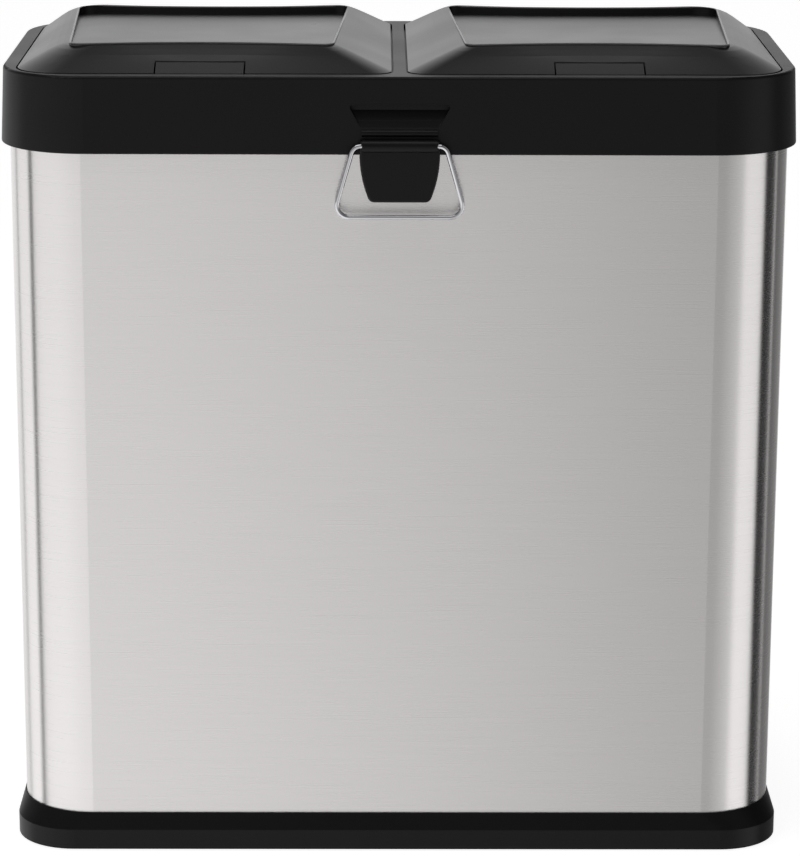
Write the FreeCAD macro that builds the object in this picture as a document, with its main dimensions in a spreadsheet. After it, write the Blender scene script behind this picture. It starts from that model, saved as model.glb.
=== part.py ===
import FreeCAD, Part
import math
import os
import re
import Sketcher

# Double recycling bin: one brushed steel body on a moulded base holds two
# plastic buckets side by side.  A moulded top frame hinges up at the rear so
# that the buckets come out; it carries two lids, each with a press catch at
# its front, and a wire pull at the centre of the front.
#
# Frame: +Z up, the front faces -Y, +X is to the right seen from the front.
# The origin is the centre of the footprint, on the floor.  Millimetres.

doc = FreeCAD.newDocument("double_recycling_bin")
dims = doc.addObject("Spreadsheet::Sheet", "dims")

SIZES = [
    # base tray
    ("base_width", 586.0, "base skirt, left to right"),
    ("base_depth", 303.0, "base skirt, front to back"),
    ("base_corner", 46.0, "base skirt corner radius"),
    ("base_lift", 1.0, "floor to the lower edge of the skirt"),
    ("skirt_top", 16.5, "height where the skirt starts to slope in"),
    ("base_top", 29.0, "height of the base's upper edge"),
    ("base_wall", 3.0, "thickness of the skirt"),
    ("tray_underside", 9.0, "height of the tray floor's lower face"),
    ("tray_floor", 12.0, "height of the tray floor's upper face"),
    ("upstand_top", 36.0, "top of the wall inside the sheet"),
    ("upstand_wall", 2.5, "thickness of that wall"),
    ("tray_rib", 2.0, "thickness of the ribs under the floor"),
    ("tray_rib_pitch", 145.0, "spacing of the ribs across the base"),
    ("tray_rib_count", 3, "number of ribs across the base"),
    ("tray_rib_offset", 50.0, "long ribs, from the centre line"),
    # feet
    ("foot_radius", 12.0, "rubber foot"),
    ("foot_edge", 1.0, "chamfer round the foot's lower edge"),
    ("foot_x", 222.0, "feet from the centre, along the width"),
    ("foot_y", 96.0, "feet from the centre, along the depth"),
    ("foot_fit", 0.1, "clearance round a foot in its socket"),
    ("foot_socket_wall", 2.5, "wall of the foot's socket"),
    ("foot_socket_depth", 5.0, "height of the foot's socket"),
    # steel body
    ("body_width", 576.0, "steel body, left to right"),
    ("body_depth", 293.0, "steel body, front to back"),
    ("body_corner", 56.0, "steel body corner radius"),
    ("sheet", 0.6, "steel sheet thickness"),
    ("body_foot", 11.0, "lower edge of the sheet, down in the base"),
    ("body_head", 541.0, "upper edge of the sheet"),
    ("sheet_gap", 0.3, "clearance beside the sheet in the plastic parts"),
    ("seam_width", 14.0, "lap seam down the rear"),
    ("seam_margin", 8.0, "seam ends short of the base and the collar"),
    # collar in the mouth of the body
    ("collar_lip", 0.8, "collar lip outside the sheet"),
    ("collar_lip_drop", 1.5, "how far that lip reaches down"),
    ("collar_flange", 2.5, "flange over the sheet's upper edge"),
    ("collar_wall", 2.5, "collar wall inside the sheet"),
    ("collar_drop", 20.0, "how far the collar wall reaches down"),
    ("divider_width", 8.0, "bar that parts the two buckets"),
    ("divider_height", 18.0, "height of that bar"),
    ("divider_wall", 2.0, "walls of the bar, which is hollow below"),
    ("divider_drop", 3.0, "bar below the top of the collar"),
    # buckets
    ("bucket_top", 528.0, "height of the bucket's lip"),
    ("bucket_mouth", 264.0, "bucket wall at the top, outside, both ways"),
    ("bucket_bottom", 236.0, "bucket at the bottom, outside, both ways"),
    ("bucket_corner", 46.0, "bucket corner radius at the top"),
    ("bucket_heel", 38.0, "bucket corner radius at the bottom"),
    ("bucket_wall", 2.0, "bucket wall thickness"),
    ("bucket_floor", 2.5, "bucket floor thickness"),
    ("bucket_lip", 4.0, "lip beyond the wall"),
    ("bucket_lip_drop", 14.0, "height of the turned-down lip"),
    ("bucket_lip_wall", 2.0, "thickness of the lip"),
    ("grip_width", 96.0, "hand hole, along the wall"),
    ("grip_height", 24.0, "hand hole, high"),
    ("grip_round", 11.0, "hand hole corner radius"),
    ("grip_drop", 24.0, "top of the hand hole below the lip"),
    # top frame
    ("rim_width", 590.0, "top frame at its lower edge"),
    ("rim_depth", 302.5, "top frame at its lower edge"),
    ("rim_corner", 66.0, "top frame corner radius"),
    ("rim_draft", 2.4, "each side leans in by this much to the top"),
    ("rim_bottom", 538.5, "lower edge of the top frame"),
    ("rim_top", 595.0, "upper face of the top frame"),
    ("rim_wall", 2.2, "skirt thickness"),
    ("deck", 3.0, "deck thickness"),
    ("rim_edge", 2.2, "round along the upper edge"),
    ("rim_lower_edge", 0.9, "round along the lower edge"),
    ("rib", 2.5, "thickness of the ribs inside the skirt"),
    ("rib_depth", 12.0, "ribs, measured in from the skirt"),
    ("rest_gap", 0.3, "clearance where a moving part comes to rest"),
    ("side_rib_pitch", 70.0, "spacing of the ribs along a side"),
    ("side_rib_count", 3, "ribs along a side"),
    ("front_rib_pitch", 72.0, "spacing of the ribs along front and rear"),
    ("front_rib_start", 92.0, "first of those ribs from the centre"),
    # lid openings in the frame
    ("lid_outer", 280.0, "outer edge of a lid from the centre"),
    ("lid_inner", 6.0, "inner edge of a lid from the centre"),
    ("lid_front", 136.0, "front edge of a lid from the centre"),
    ("lid_rear", 138.0, "rear edge of a lid from the centre"),
    ("lid_front_corner", 32.0, "lid outer front corner radius"),
    ("lid_rear_corner", 40.0, "lid outer rear corner radius"),
    ("lid_inner_corner", 14.0, "lid corner radii beside the centre bar"),
    ("lid_gap", 1.4, "gap round a lid"),
    ("seat_drop", 3.8, "lid seat below the frame's upper face"),
    ("seat_width", 7.0, "width of the lid seat"),
    ("seat_thick", 2.6, "thickness of the lid seat"),
    ("throat_wall", 2.0, "wall that leads waste into the bucket"),
    ("throat_drop", 27.0, "that wall's lower edge below the frame's face"),
    # lids
    ("lid_sill", 591.5, "lower edge of a lid"),
    ("lid_band", 595.4, "height where the lid's slopes start"),
    ("lid_brow", 611.0, "top of the lid at the front"),
    ("lid_crest", 613.0, "top of the lid at the rear crest"),
    ("lid_wall", 2.4, "lid thickness"),
    ("shoulder", 0.62, "share of a slope's rise where its upper round starts"),
    ("shoulder_front", 1.2, "reach of that round at the front"),
    ("shoulder_inner", 2.4, "reach of that round beside the centre bar"),
    ("shoulder_outer", 9.0, "reach of that round at the outer end"),
    ("shoulder_rear", 2.0, "reach of that round at the rear"),
    ("plan_bow", 0.2, "hollow of the long edges at the foot of the slopes"),
    ("crest_width", 6.5, "crest behind the panel"),
    ("crest_sag", 2.2, "the crest's middle lies this much lower"),
    # panel in the lid's top, with a raised bead round it
    ("panel_inner", 50.0, "inner front corner of the panel from the centre"),
    ("panel_outer", 241.0, "outer front corner of the panel from the centre"),
    ("panel_inner_rear", 39.5, "inner rear corner of the panel from the centre"),
    ("panel_outer_rear", 251.5, "outer rear corner of the panel from the centre"),
    ("panel_near", 101.0, "front corners of the panel from the centre"),
    ("panel_far", 106.0, "rear corners of the panel from the centre"),
    ("panel_near_bow", 13.0, "the front edge bends back by this much"),
    ("panel_near_arc", 420.0, "radius of that bend"),
    ("panel_far_bow", 9.0, "the rear edge bends forward by this much"),
    ("panel_far_arc", 620.0, "radius of that bend"),
    ("panel_near_corner", 7.0, "corner radii at the front of the panel"),
    ("panel_far_corner", 9.0, "corner radius at the rear, beside the centre bar"),
    ("panel_outer_corner", 16.0, "corner radius at the rear, outer end"),
    ("panel_front", 610.9, "panel at its front edge"),
    ("panel_rear", 606.6, "panel at its rear edge"),
    ("bead_width", 1.7, "raised bead round the panel"),
    ("bead_front", 611.9, "top of the bead at the front"),
    ("bead_rear", 612.3, "top of the bead at the rear"),
    ("bead_root", 3.0, "depth of the bead, down into the lid"),
    ("top_margin", 2.6, "slopes start this far outside the panel"),
    ("top_outer_margin", 6.0, "the same at the outer end"),
    ("top_outer_corner", 19.0, "corner radius of the slopes' top, outer front"),
    # lid hinges
    ("lid_axis_y", 142.6, "lid hinge axis from the centre"),
    ("lid_axis_z", 599.4, "height of the lid hinge axis"),
    ("lid_hinge_span", 84.0, "hinges from the middle of the lid"),
    ("knuckle_radius", 4.0, "hinge knuckle"),
    ("knuckle_width", 9.0, "the lid's knuckle, along the pin"),
    ("ear", 3.5, "thickness of the frame's ears"),
    ("hinge_play", 0.4, "side clearance in the hinges"),
    ("lid_pin", 1.5, "lid hinge pin radius"),
    ("pin_fit", 0.05, "running clearance round a pin"),
    ("pin_proud", 0.8, "pins stand out of the ears by this much"),
    # catches
    ("catch_x", 145.5, "middle of a catch from the centre"),
    ("catch_width", 64.0, "press tab, left to right"),
    ("catch_depth", 16.4, "press tab, front to back"),
    ("catch_gap", 1.1, "gap round the press tab"),
    ("catch_travel", 2.5, "travel of the press tab"),
    ("catch_wall", 2.0, "wall of the press tab"),
    ("catch_skirt", 12.5, "press tab reaches this far below the frame's face"),
    ("pocket_fit", 0.4, "clearance of the press tab in its pocket"),
    ("pocket_wall", 2.0, "walls of the pocket in the frame"),
    ("pocket_floor", 2.0, "floor of the pocket"),
    ("pocket_drop", 20.0, "pocket floor below the frame's face"),
    ("strike", 2.0, "thickness of the lid's strike rib"),
    ("strike_gap", 0.4, "strike rib to the catch's nose"),
    ("strike_width", 26.0, "width of the strike rib"),
    ("strike_end", 592.2, "lower end of the strike rib"),
    ("nose_reach", 1.6, "nose on the catch's rear face"),
    ("nose_top", 597.0, "height of the nose"),
    ("nose_width", 22.0, "width of the nose"),
    ("spring_wire", 0.45, "catch spring wire radius"),
    ("spring_radius", 3.0, "catch spring, to the wire's centre"),
    ("spring_turns", 6.0, "turns of the catch spring"),
    ("spring_x", 16.0, "catch springs from the middle of the catch"),
    # rear hinge of the top frame
    ("frame_axis_y", 154.8, "frame hinge axis from the centre"),
    ("frame_axis_z", 533.0, "height of the frame hinge axis"),
    ("frame_hinge_x", 190.0, "frame hinges from the centre"),
    ("hinge_radius", 5.4, "frame hinge knuckle"),
    ("hinge_block", 18.0, "the bracket's knuckle, along the pin"),
    ("lug", 4.0, "thickness of the frame's lugs"),
    ("lug_top", 18.0, "top of the lugs above the frame's lower edge"),
    ("hinge_pin", 2.0, "frame hinge pin radius"),
    ("plate_width", 48.0, "bracket plate"),
    ("plate_height", 27.0, "bracket plate"),
    ("plate_thick", 3.0, "bracket plate"),
    ("plate_round", 4.0, "bracket plate corner radius"),
    ("plate_drop", 2.0, "top of the plate below the hinge axis"),
    ("rivet_radius", 2.0, "rivet shank"),
    ("rivet_head", 3.6, "rivet head radius"),
    ("rivet_head_high", 1.4, "rivet head height"),
    ("rivet_x", 17.0, "rivets from the middle of the bracket"),
    ("rivet_drop", 17.0, "rivets below the hinge axis"),
    ("rivet_tail", 1.2, "rivet tail height inside the body"),
    # scoop, ridge and clip at the front
    ("scoop_top", 575.4, "upper edge of the scoop"),
    ("scoop_bottom", 556.5, "lower edge of the scoop"),
    ("scoop_top_half", 38.0, "half of the scoop's width at the top"),
    ("scoop_bottom_half", 27.6, "half of the scoop's width at the bottom"),
    ("scoop_depth", 6.0, "depth of the scoop under its upper edge"),
    ("scoop_shelf", 3.6, "height of the scoop at its back"),
    ("scoop_lean", 1.4, "the scoop's side and upper walls lean by this much"),
    ("scoop_backing", 2.4, "wall behind the scoop"),
    ("scoop_frame", 6.0, "backing block beyond the scoop"),
    ("ridge_z", 554.2, "ridge under the scoop"),
    ("ridge_radius", 2.7, "ridge radius"),
    ("ridge_half", 27.6, "half of the ridge's length"),
    ("ridge_sink", 0.4, "ridge axis behind the frame's face"),
    ("clip_top", 549.2, "upper edge of the clip's tab"),
    ("clip_bottom", 504.4, "lower edge of the clip's tab"),
    ("clip_half", 29.2, "half of the tab's greatest width"),
    ("clip_waist", 540.0, "height of the tab's greatest width"),
    ("clip_side", 88.0, "radius of the tab's bowed sides"),
    ("clip_front", 157.2, "front face of the tab from the centre"),
    ("clip_stand", 0.8, "tab clear of the steel body"),
    ("clip_seat", 0.3, "clip clear of the frame's face"),
    ("clip_wall", 2.4, "wall of the tab"),
    ("clip_round", 1.8, "round along the tab's edges"),
    ("clip_foot_round", 5.0, "lower corners of the tab"),
    ("clip_clear", 1.0, "tab's rear walls below the frame's lower edge"),
    ("roll_y", 155.6, "axis of the clip's roll from the centre"),
    ("roll_z", 545.6, "height of the roll's axis"),
    ("roll_radius", 4.6, "radius of the roll"),
    ("roll_half", 27.4, "half of the roll's length"),
    ("screw_x", 13.0, "clip screws from the centre"),
    ("screw_rise", 1.0, "clip screws above the roll's axis"),
    ("screw_radius", 1.5, "clip screw shank"),
    ("screw_head", 3.2, "clip screw head radius"),
    ("screw_head_high", 2.0, "clip screw head height"),
    ("screw_depth", 3.5, "clip screw's reach into the clip"),
    ("screw_fit", 0.2, "clearance round the screws"),
    # wire pull
    ("wire", 1.8, "pull wire radius"),
    ("wire_end", 18.0, "inner end of the wire in the roll, from the centre"),
    ("wire_shoulder", 33.6, "upper bend of the wire from the centre"),
    ("wire_foot", 48.6, "lower bend of the wire from the centre"),
    ("wire_drop", 52.2, "lower bar below the roll's axis"),
    ("wire_bend", 7.0, "upper bend radius"),
    ("wire_turn", 9.0, "lower bend radius"),
    ("wire_fit", 0.06, "running clearance round the wire"),
]

for row, (alias, size, note) in enumerate(SIZES, start=1):
    dims.set("A%d" % row, note)
    dims.set("B%d" % row, repr(size))
    dims.setAlias("B%d" % row, alias)
doc.recompute()

ALIASES = {alias for alias, size, note in SIZES}


def tied(text):
    """The expression with each size's name pointing at its cell of the sheet."""
    def cell(match):
        word = match.group(0)
        return "dims." + word if word in ALIASES else word

    return re.sub(r"[a-z_]+", cell, str(text))


def value(text):
    return float(dims.evalExpression(tied(text)))


def new_body(label):
    body = doc.addObject("PartDesign::Body", label)
    body.Label = label
    return body


def new_sketch(body, name, role="XY_Plane", offset="0"):
    """A sketch on one of the body's own origin planes, moved along its normal."""
    sketch = body.newObject("Sketcher::SketchObject", name)
    plane = [item for item in body.Origin.OriginFeatures if item.Role == role][0]
    sketch.AttachmentSupport = [(plane, "")]
    sketch.MapMode = "FlatFace"
    sketch.AttachmentOffset = FreeCAD.Placement(FreeCAD.Vector(0, 0, value(offset)), FreeCAD.Rotation())
    sketch.setExpression("AttachmentOffset.Base.z", tied(offset))
    return sketch


def drive(sketch, driven, plain=()):
    """Adds constraints in one go; each (constraint, name, text) is tied to the sheet."""
    numbers = sketch.addConstraint([entry[0] for entry in driven] + list(plain))
    for number, (constraint, name, text) in zip(numbers, driven):
        sketch.renameConstraint(number, name)
        sketch.setExpression("Constraints." + name, tied(text))


def corner_points(corners, closed):
    """Tangent points of each rounded corner, worked out for the first shape."""
    places = [FreeCAD.Vector(value(x), value(y), 0) for x, y, radius in corners]
    result = []
    for index, (x, y, radius) in enumerate(corners):
        here = places[index]
        if radius is None or (not closed and index in (0, len(corners) - 1)):
            result.append((here, here, None, None, None))
            continue
        before = places[index - 1]
        after = places[(index + 1) % len(places)]
        into = (here - before).normalize()
        out = (after - here).normalize()
        turn = into.getAngle(out)
        size = value(radius)
        reach = size * math.tan(turn / 2.0)
        start = here - into * reach
        end = here + out * reach
        side = 1.0 if into.cross(out).z > 0 else -1.0
        centre = start + FreeCAD.Vector(-into.y, into.x, 0) * (size * side)
        result.append((start, end, centre, size, side))
    return result


def outline(sketch, tag, corners, closed=True):
    """Straight runs joined by tangent arcs.

    Each corner is (x, y, radius): where the two runs would meet, and the arc
    that rounds it, or None for a sharp corner."""
    points = corner_points(corners, closed)
    count = len(corners)
    runs = []
    for index in range(count if closed else count - 1):
        start = points[index][1]
        end = points[(index + 1) % count][0]
        runs.append(sketch.addGeometry(Part.LineSegment(start, end), False))
    driven = []
    plain = []
    for index, (x, y, radius) in enumerate(corners):
        start, end, centre, size, side = points[index]
        before = runs[index - 1] if (closed or index > 0) else None
        after = runs[index] if index < len(runs) else None
        mark = sketch.addGeometry(Part.Point(FreeCAD.Vector(value(x), value(y), 0)), True)
        name = "%s_%d" % (tag, index)
        driven.append((Sketcher.Constraint("DistanceX", -1, 1, mark, 1, value(x)), name + "_x", x))
        driven.append((Sketcher.Constraint("DistanceY", -1, 1, mark, 1, value(y)), name + "_y", y))
        if centre is None:
            if before is not None:
                plain.append(Sketcher.Constraint("Coincident", before, 2, mark, 1))
            if after is not None:
                plain.append(Sketcher.Constraint("Coincident", after, 1, mark, 1))
            continue
        first = math.atan2(start.y - centre.y, start.x - centre.x)
        last = math.atan2(end.y - centre.y, end.x - centre.x)
        circle = Part.Circle(centre, FreeCAD.Vector(0, 0, 1), size)
        if side > 0:
            arc = sketch.addGeometry(Part.ArcOfCircle(circle, first, last), False)
            arc_in, arc_out = 1, 2
        else:
            arc = sketch.addGeometry(Part.ArcOfCircle(circle, last, first), False)
            arc_in, arc_out = 2, 1
        plain.append(Sketcher.Constraint("Tangent", before, 2, arc, arc_in))
        plain.append(Sketcher.Constraint("Tangent", after, 1, arc, arc_out))
        plain.append(Sketcher.Constraint("PointOnObject", mark, 1, before))
        plain.append(Sketcher.Constraint("PointOnObject", mark, 1, after))
        driven.append((Sketcher.Constraint("Radius", arc, size), name + "_r", radius))
    drive(sketch, driven, plain)


def rounded(x_half, y_half, radius, x="0", y="0"):
    """Corners of a rectangle about (x, y), with one radius all round."""
    return [
        ("(%s) - (%s)" % (x, x_half), "(%s) - (%s)" % (y, y_half), radius),
        ("(%s) + (%s)" % (x, x_half), "(%s) - (%s)" % (y, y_half), radius),
        ("(%s) + (%s)" % (x, x_half), "(%s) + (%s)" % (y, y_half), radius),
        ("(%s) - (%s)" % (x, x_half), "(%s) + (%s)" % (y, y_half), radius),
    ]


def block(x_low, x_high, y_low, y_high):
    """Corners of a plain rectangle between four places."""
    return [(x_low, y_low, None), (x_high, y_low, None), (x_high, y_high, None), (x_low, y_high, None)]


def disc(sketch, tag, x, y, radius):
    centre = FreeCAD.Vector(value(x), value(y), 0)
    ring = sketch.addGeometry(Part.Circle(centre, FreeCAD.Vector(0, 0, 1), value(radius)), False)
    drive(sketch, [
        (Sketcher.Constraint("DistanceX", -1, 1, ring, 3, value(x)), tag + "_x", x),
        (Sketcher.Constraint("DistanceY", -1, 1, ring, 3, value(y)), tag + "_y", y),
        (Sketcher.Constraint("Radius", ring, value(radius)), tag + "_r", radius)])


def extrude(body, kind, sketch, length, back=False, both=False):
    """A Pad or a Pocket of the given length; both sides of the sketch if asked."""
    feature = body.newObject("PartDesign::" + kind, sketch.Name + "_" + kind.lower())
    feature.Profile = sketch
    if both:
        feature.SideType = "Symmetric"
    feature.Length = value(length)
    feature.setExpression("Length", tied(length))
    feature.Reversed = back
    return feature


def pad(body, sketch, length, back=False, both=False):
    return extrude(body, "Pad", sketch, length, back, both)


def pocket(body, sketch, length, back=False, both=False):
    return extrude(body, "Pocket", sketch, length, back, both)


def loft(body, kind, sections):
    feature = body.newObject("PartDesign::" + kind, sections[0].Name + "_loft")
    feature.Profile = sections[0]
    feature.Sections = sections[1:]
    feature.Ruled = True
    return feature


def round_edges(body, name, radius, choose, kind="Fillet"):
    """Rounds the edges of the body's last feature that the test picks."""
    doc.recompute()
    base = body.Tip
    names = ["Edge%d" % (n + 1) for n, edge in enumerate(base.Shape.Edges) if choose(edge)]
    feature = body.newObject("PartDesign::" + kind, name)
    feature.Base = (base, names)
    if kind == "Fillet":
        feature.Radius = value(radius)
        feature.setExpression("Radius", tied(radius))
    else:
        feature.Size = value(radius)
        feature.setExpression("Size", tied(radius))
    return feature


def at_height(z, slack=0.02):
    level = value(z)
    return lambda edge: edge.BoundBox.ZMax < level + slack and edge.BoundBox.ZMin > level - slack


def mirrored(side, text):
    """The place on the left (-1) or the right (+1) of the middle."""
    return "(%s)" % text if side > 0 else "-(%s)" % text


def side_name(stem, side):
    return stem + ("_right" if side > 0 else "_left")


def cylinder(name, radius, length, centre, axis):
    """A plain cylinder starting at centre, along X, Y or Z."""
    item = doc.addObject("Part::Cylinder", name)
    item.setExpression("Radius", tied(radius))
    item.setExpression("Height", tied(length))
    turns = {
        "x": FreeCAD.Rotation(FreeCAD.Vector(0, 1, 0), 90),
        "y": FreeCAD.Rotation(FreeCAD.Vector(1, 0, 0), -90),
        "z": FreeCAD.Rotation(),
    }
    item.Placement = FreeCAD.Placement(FreeCAD.Vector(), turns[axis])
    for letter, text in zip("xyz", centre):
        item.setExpression("Placement.Base." + letter, tied(text))
    return item


def group(label, items):
    """Like pieces that share a node and stay separate solids."""
    item = doc.addObject("Part::Compound", label)
    item.Links = items
    item.Label = label
    return item


pieces = []

# --------------------------------------------------------------------------
# Base tray: a skirt that slopes in to the sheet, a slot that takes the sheet's
# lower edge, a floor for the buckets and ribs and foot sockets below it.
tray = new_body("base_tray")
skirt = new_sketch(tray, "tray_skirt", offset="base_lift")
outline(skirt, "skirt", rounded("base_width / 2", "base_depth / 2", "base_corner"))
pad(tray, skirt, "skirt_top - base_lift")
slope_low = new_sketch(tray, "tray_slope_low", offset="skirt_top")
outline(slope_low, "low", rounded("base_width / 2", "base_depth / 2", "base_corner"))
slope_high = new_sketch(tray, "tray_slope_high", offset="base_top")
outline(slope_high, "high", rounded(
    "body_width / 2 + sheet_gap + collar_lip", "body_depth / 2 + sheet_gap + collar_lip",
    "body_corner + sheet_gap + collar_lip"))
loft(tray, "AdditiveLoft", [slope_low, slope_high])
slot = new_sketch(tray, "tray_slot", offset="base_top")
outline(slot, "slot", rounded(
    "body_width / 2 + sheet_gap", "body_depth / 2 + sheet_gap", "body_corner + sheet_gap"))
pocket(tray, slot, "base_top - body_foot")
upstand = new_sketch(tray, "tray_upstand", offset="body_foot")
outline(upstand, "upstand", rounded(
    "body_width / 2 - sheet - sheet_gap", "body_depth / 2 - sheet - sheet_gap",
    "body_corner - sheet - sheet_gap"))
pad(tray, upstand, "upstand_top - body_foot")
well = new_sketch(tray, "tray_well", offset="upstand_top")
outline(well, "well", rounded(
    "body_width / 2 - sheet - sheet_gap - upstand_wall",
    "body_depth / 2 - sheet - sheet_gap - upstand_wall",
    "body_corner - sheet - sheet_gap - upstand_wall"))
pocket(tray, well, "upstand_top - tray_floor")
under = new_sketch(tray, "tray_under", offset="base_lift")
outline(under, "under", rounded(
    "base_width / 2 - base_wall", "base_depth / 2 - base_wall", "base_corner - base_wall"))
pocket(tray, under, "tray_underside - base_lift", back=True)
long_ribs = new_sketch(tray, "tray_long_ribs", offset="tray_underside + 0.5")
for side, tag in ((-1, "near"), (1, "far")):
    place = mirrored(side, "tray_rib_offset")
    outline(long_ribs, tag, block(
        "-(base_width / 2 - base_wall / 2)", "base_width / 2 - base_wall / 2",
        place + " - tray_rib / 2", place + " + tray_rib / 2"))
pad(tray, long_ribs, "tray_underside + 0.5 - base_lift - 1", back=True)
cross_rib = new_sketch(tray, "tray_cross_rib", offset="tray_underside + 0.5")
outline(cross_rib, "rib", block(
    "-tray_rib_pitch * (tray_rib_count - 1) / 2 - tray_rib / 2",
    "-tray_rib_pitch * (tray_rib_count - 1) / 2 + tray_rib / 2",
    "-(base_depth / 2 - base_wall / 2)", "base_depth / 2 - base_wall / 2"))
rib_pad = pad(tray, cross_rib, "tray_underside + 0.5 - base_lift - 1", back=True)
doc.recompute()
rib_row = tray.newObject("PartDesign::LinearPattern", "tray_rib_row")
rib_row.Originals = [rib_pad]
rib_row.Direction = (cross_rib, ["H_Axis"])
rib_row.Mode = "Spacing"
rib_row.setExpression("Offset", tied("tray_rib_pitch"))
rib_row.setExpression("Occurrences", tied("tray_rib_count"))
tray.Tip = rib_row
sockets = new_sketch(tray, "tray_sockets", offset="tray_underside + 0.5")
holes = new_sketch(tray, "tray_socket_holes", offset="tray_underside")
for number, (side_x, side_y) in enumerate(((-1, -1), (1, -1), (1, 1), (-1, 1))):
    spot = (mirrored(side_x, "foot_x"), mirrored(side_y, "foot_y"))
    disc(sockets, "wall_%d" % number, spot[0], spot[1], "foot_radius + foot_fit + foot_socket_wall")
    disc(holes, "hole_%d" % number, spot[0], spot[1], "foot_radius + foot_fit")
pad(tray, sockets, "foot_socket_depth + 0.5", back=True)
pocket(tray, holes, "foot_socket_depth")
pieces.append(tray)

# Rubber feet, let into their sockets up to the tray floor.
feet = []
for number, (side_x, side_y) in enumerate(((-1, -1), (1, -1), (1, 1), (-1, 1))):
    foot = cylinder(
        "foot_%d" % number, "foot_radius", "tray_underside",
        (mirrored(side_x, "foot_x"), mirrored(side_y, "foot_y"), "0"), "z")
    doc.recompute()
    edge = [n + 1 for n, e in enumerate(foot.Shape.Edges) if at_height("0")(e)][0]
    eased = doc.addObject("Part::Chamfer", "foot_eased_%d" % number)
    eased.Base = foot
    eased.Edges = [(edge, value("foot_edge"), value("foot_edge"))]
    feet.append(eased)
pieces.append(group("rubber_feet", feet))

# --------------------------------------------------------------------------
# Steel body: a sheet bent round to a tube, lapped and welded down the rear.
shell = new_body("steel_body")
outside = new_sketch(shell, "body_outside", offset="body_foot")
outline(outside, "outside", rounded("body_width / 2", "body_depth / 2", "body_corner"))
pad(shell, outside, "body_head - body_foot")
inside = new_sketch(shell, "body_inside", offset="body_head")
outline(inside, "inside", rounded(
    "body_width / 2 - sheet", "body_depth / 2 - sheet", "body_corner - sheet"))
pocket(shell, inside, "body_head - body_foot")
seam = new_sketch(shell, "body_seam", offset="base_top + seam_margin")
outline(seam, "seam", block(
    "-seam_width / 2", "seam_width / 2", "body_depth / 2 - sheet / 2", "body_depth / 2 + sheet"))
pad(shell, seam, "rim_bottom - base_top - 2 * seam_margin")
pieces.append(shell)

# --------------------------------------------------------------------------
# Collar: caps the sheet's upper edge and carries the bar between the buckets.
collar = new_body("body_collar")
lip = new_sketch(collar, "collar_lip_sketch", offset="body_head - collar_lip_drop")
outline(lip, "lip", rounded(
    "body_width / 2 + sheet_gap + collar_lip", "body_depth / 2 + sheet_gap + collar_lip",
    "body_corner + sheet_gap + collar_lip"))
pad(collar, lip, "collar_lip_drop + collar_flange")
lip_inside = new_sketch(collar, "collar_lip_inside", offset="body_head - collar_lip_drop")
outline(lip_inside, "inside", rounded(
    "body_width / 2 + sheet_gap", "body_depth / 2 + sheet_gap", "body_corner + sheet_gap"))
pocket(collar, lip_inside, "collar_lip_drop", back=True)
collar_wall = new_sketch(collar, "collar_wall_sketch", offset="body_head - collar_drop")
outline(collar_wall, "wall", rounded(
    "body_width / 2 - sheet - sheet_gap", "body_depth / 2 - sheet - sheet_gap",
    "body_corner - sheet - sheet_gap"))
pad(collar, collar_wall, "collar_drop + collar_flange / 2")
mouth = new_sketch(collar, "collar_mouth", offset="body_head + collar_flange")
outline(mouth, "mouth", rounded(
    "body_width / 2 - sheet - sheet_gap - collar_wall", "body_depth / 2 - sheet - sheet_gap - collar_wall",
    "body_corner - sheet - sheet_gap - collar_wall"))
pocket(collar, mouth, "collar_drop + collar_flange")
divider = new_sketch(collar, "collar_divider", offset="body_head + collar_flange - divider_drop")
outline(divider, "divider", block(
    "-divider_width / 2", "divider_width / 2",
    "-(body_depth / 2 - sheet - sheet_gap - collar_wall / 2)",
    "body_depth / 2 - sheet - sheet_gap - collar_wall / 2"))
pad(collar, divider, "divider_height", back=True)
channel = new_sketch(collar, "collar_channel",
    offset="body_head + collar_flange - divider_drop - divider_height")
outline(channel, "channel", block(
    "-(divider_width / 2 - divider_wall)", "divider_width / 2 - divider_wall",
    "-(body_depth / 2 - sheet - sheet_gap - collar_wall)",
    "body_depth / 2 - sheet - sheet_gap - collar_wall"))
pocket(collar, channel, "divider_height - divider_wall", back=True)
pieces.append(collar)

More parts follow.
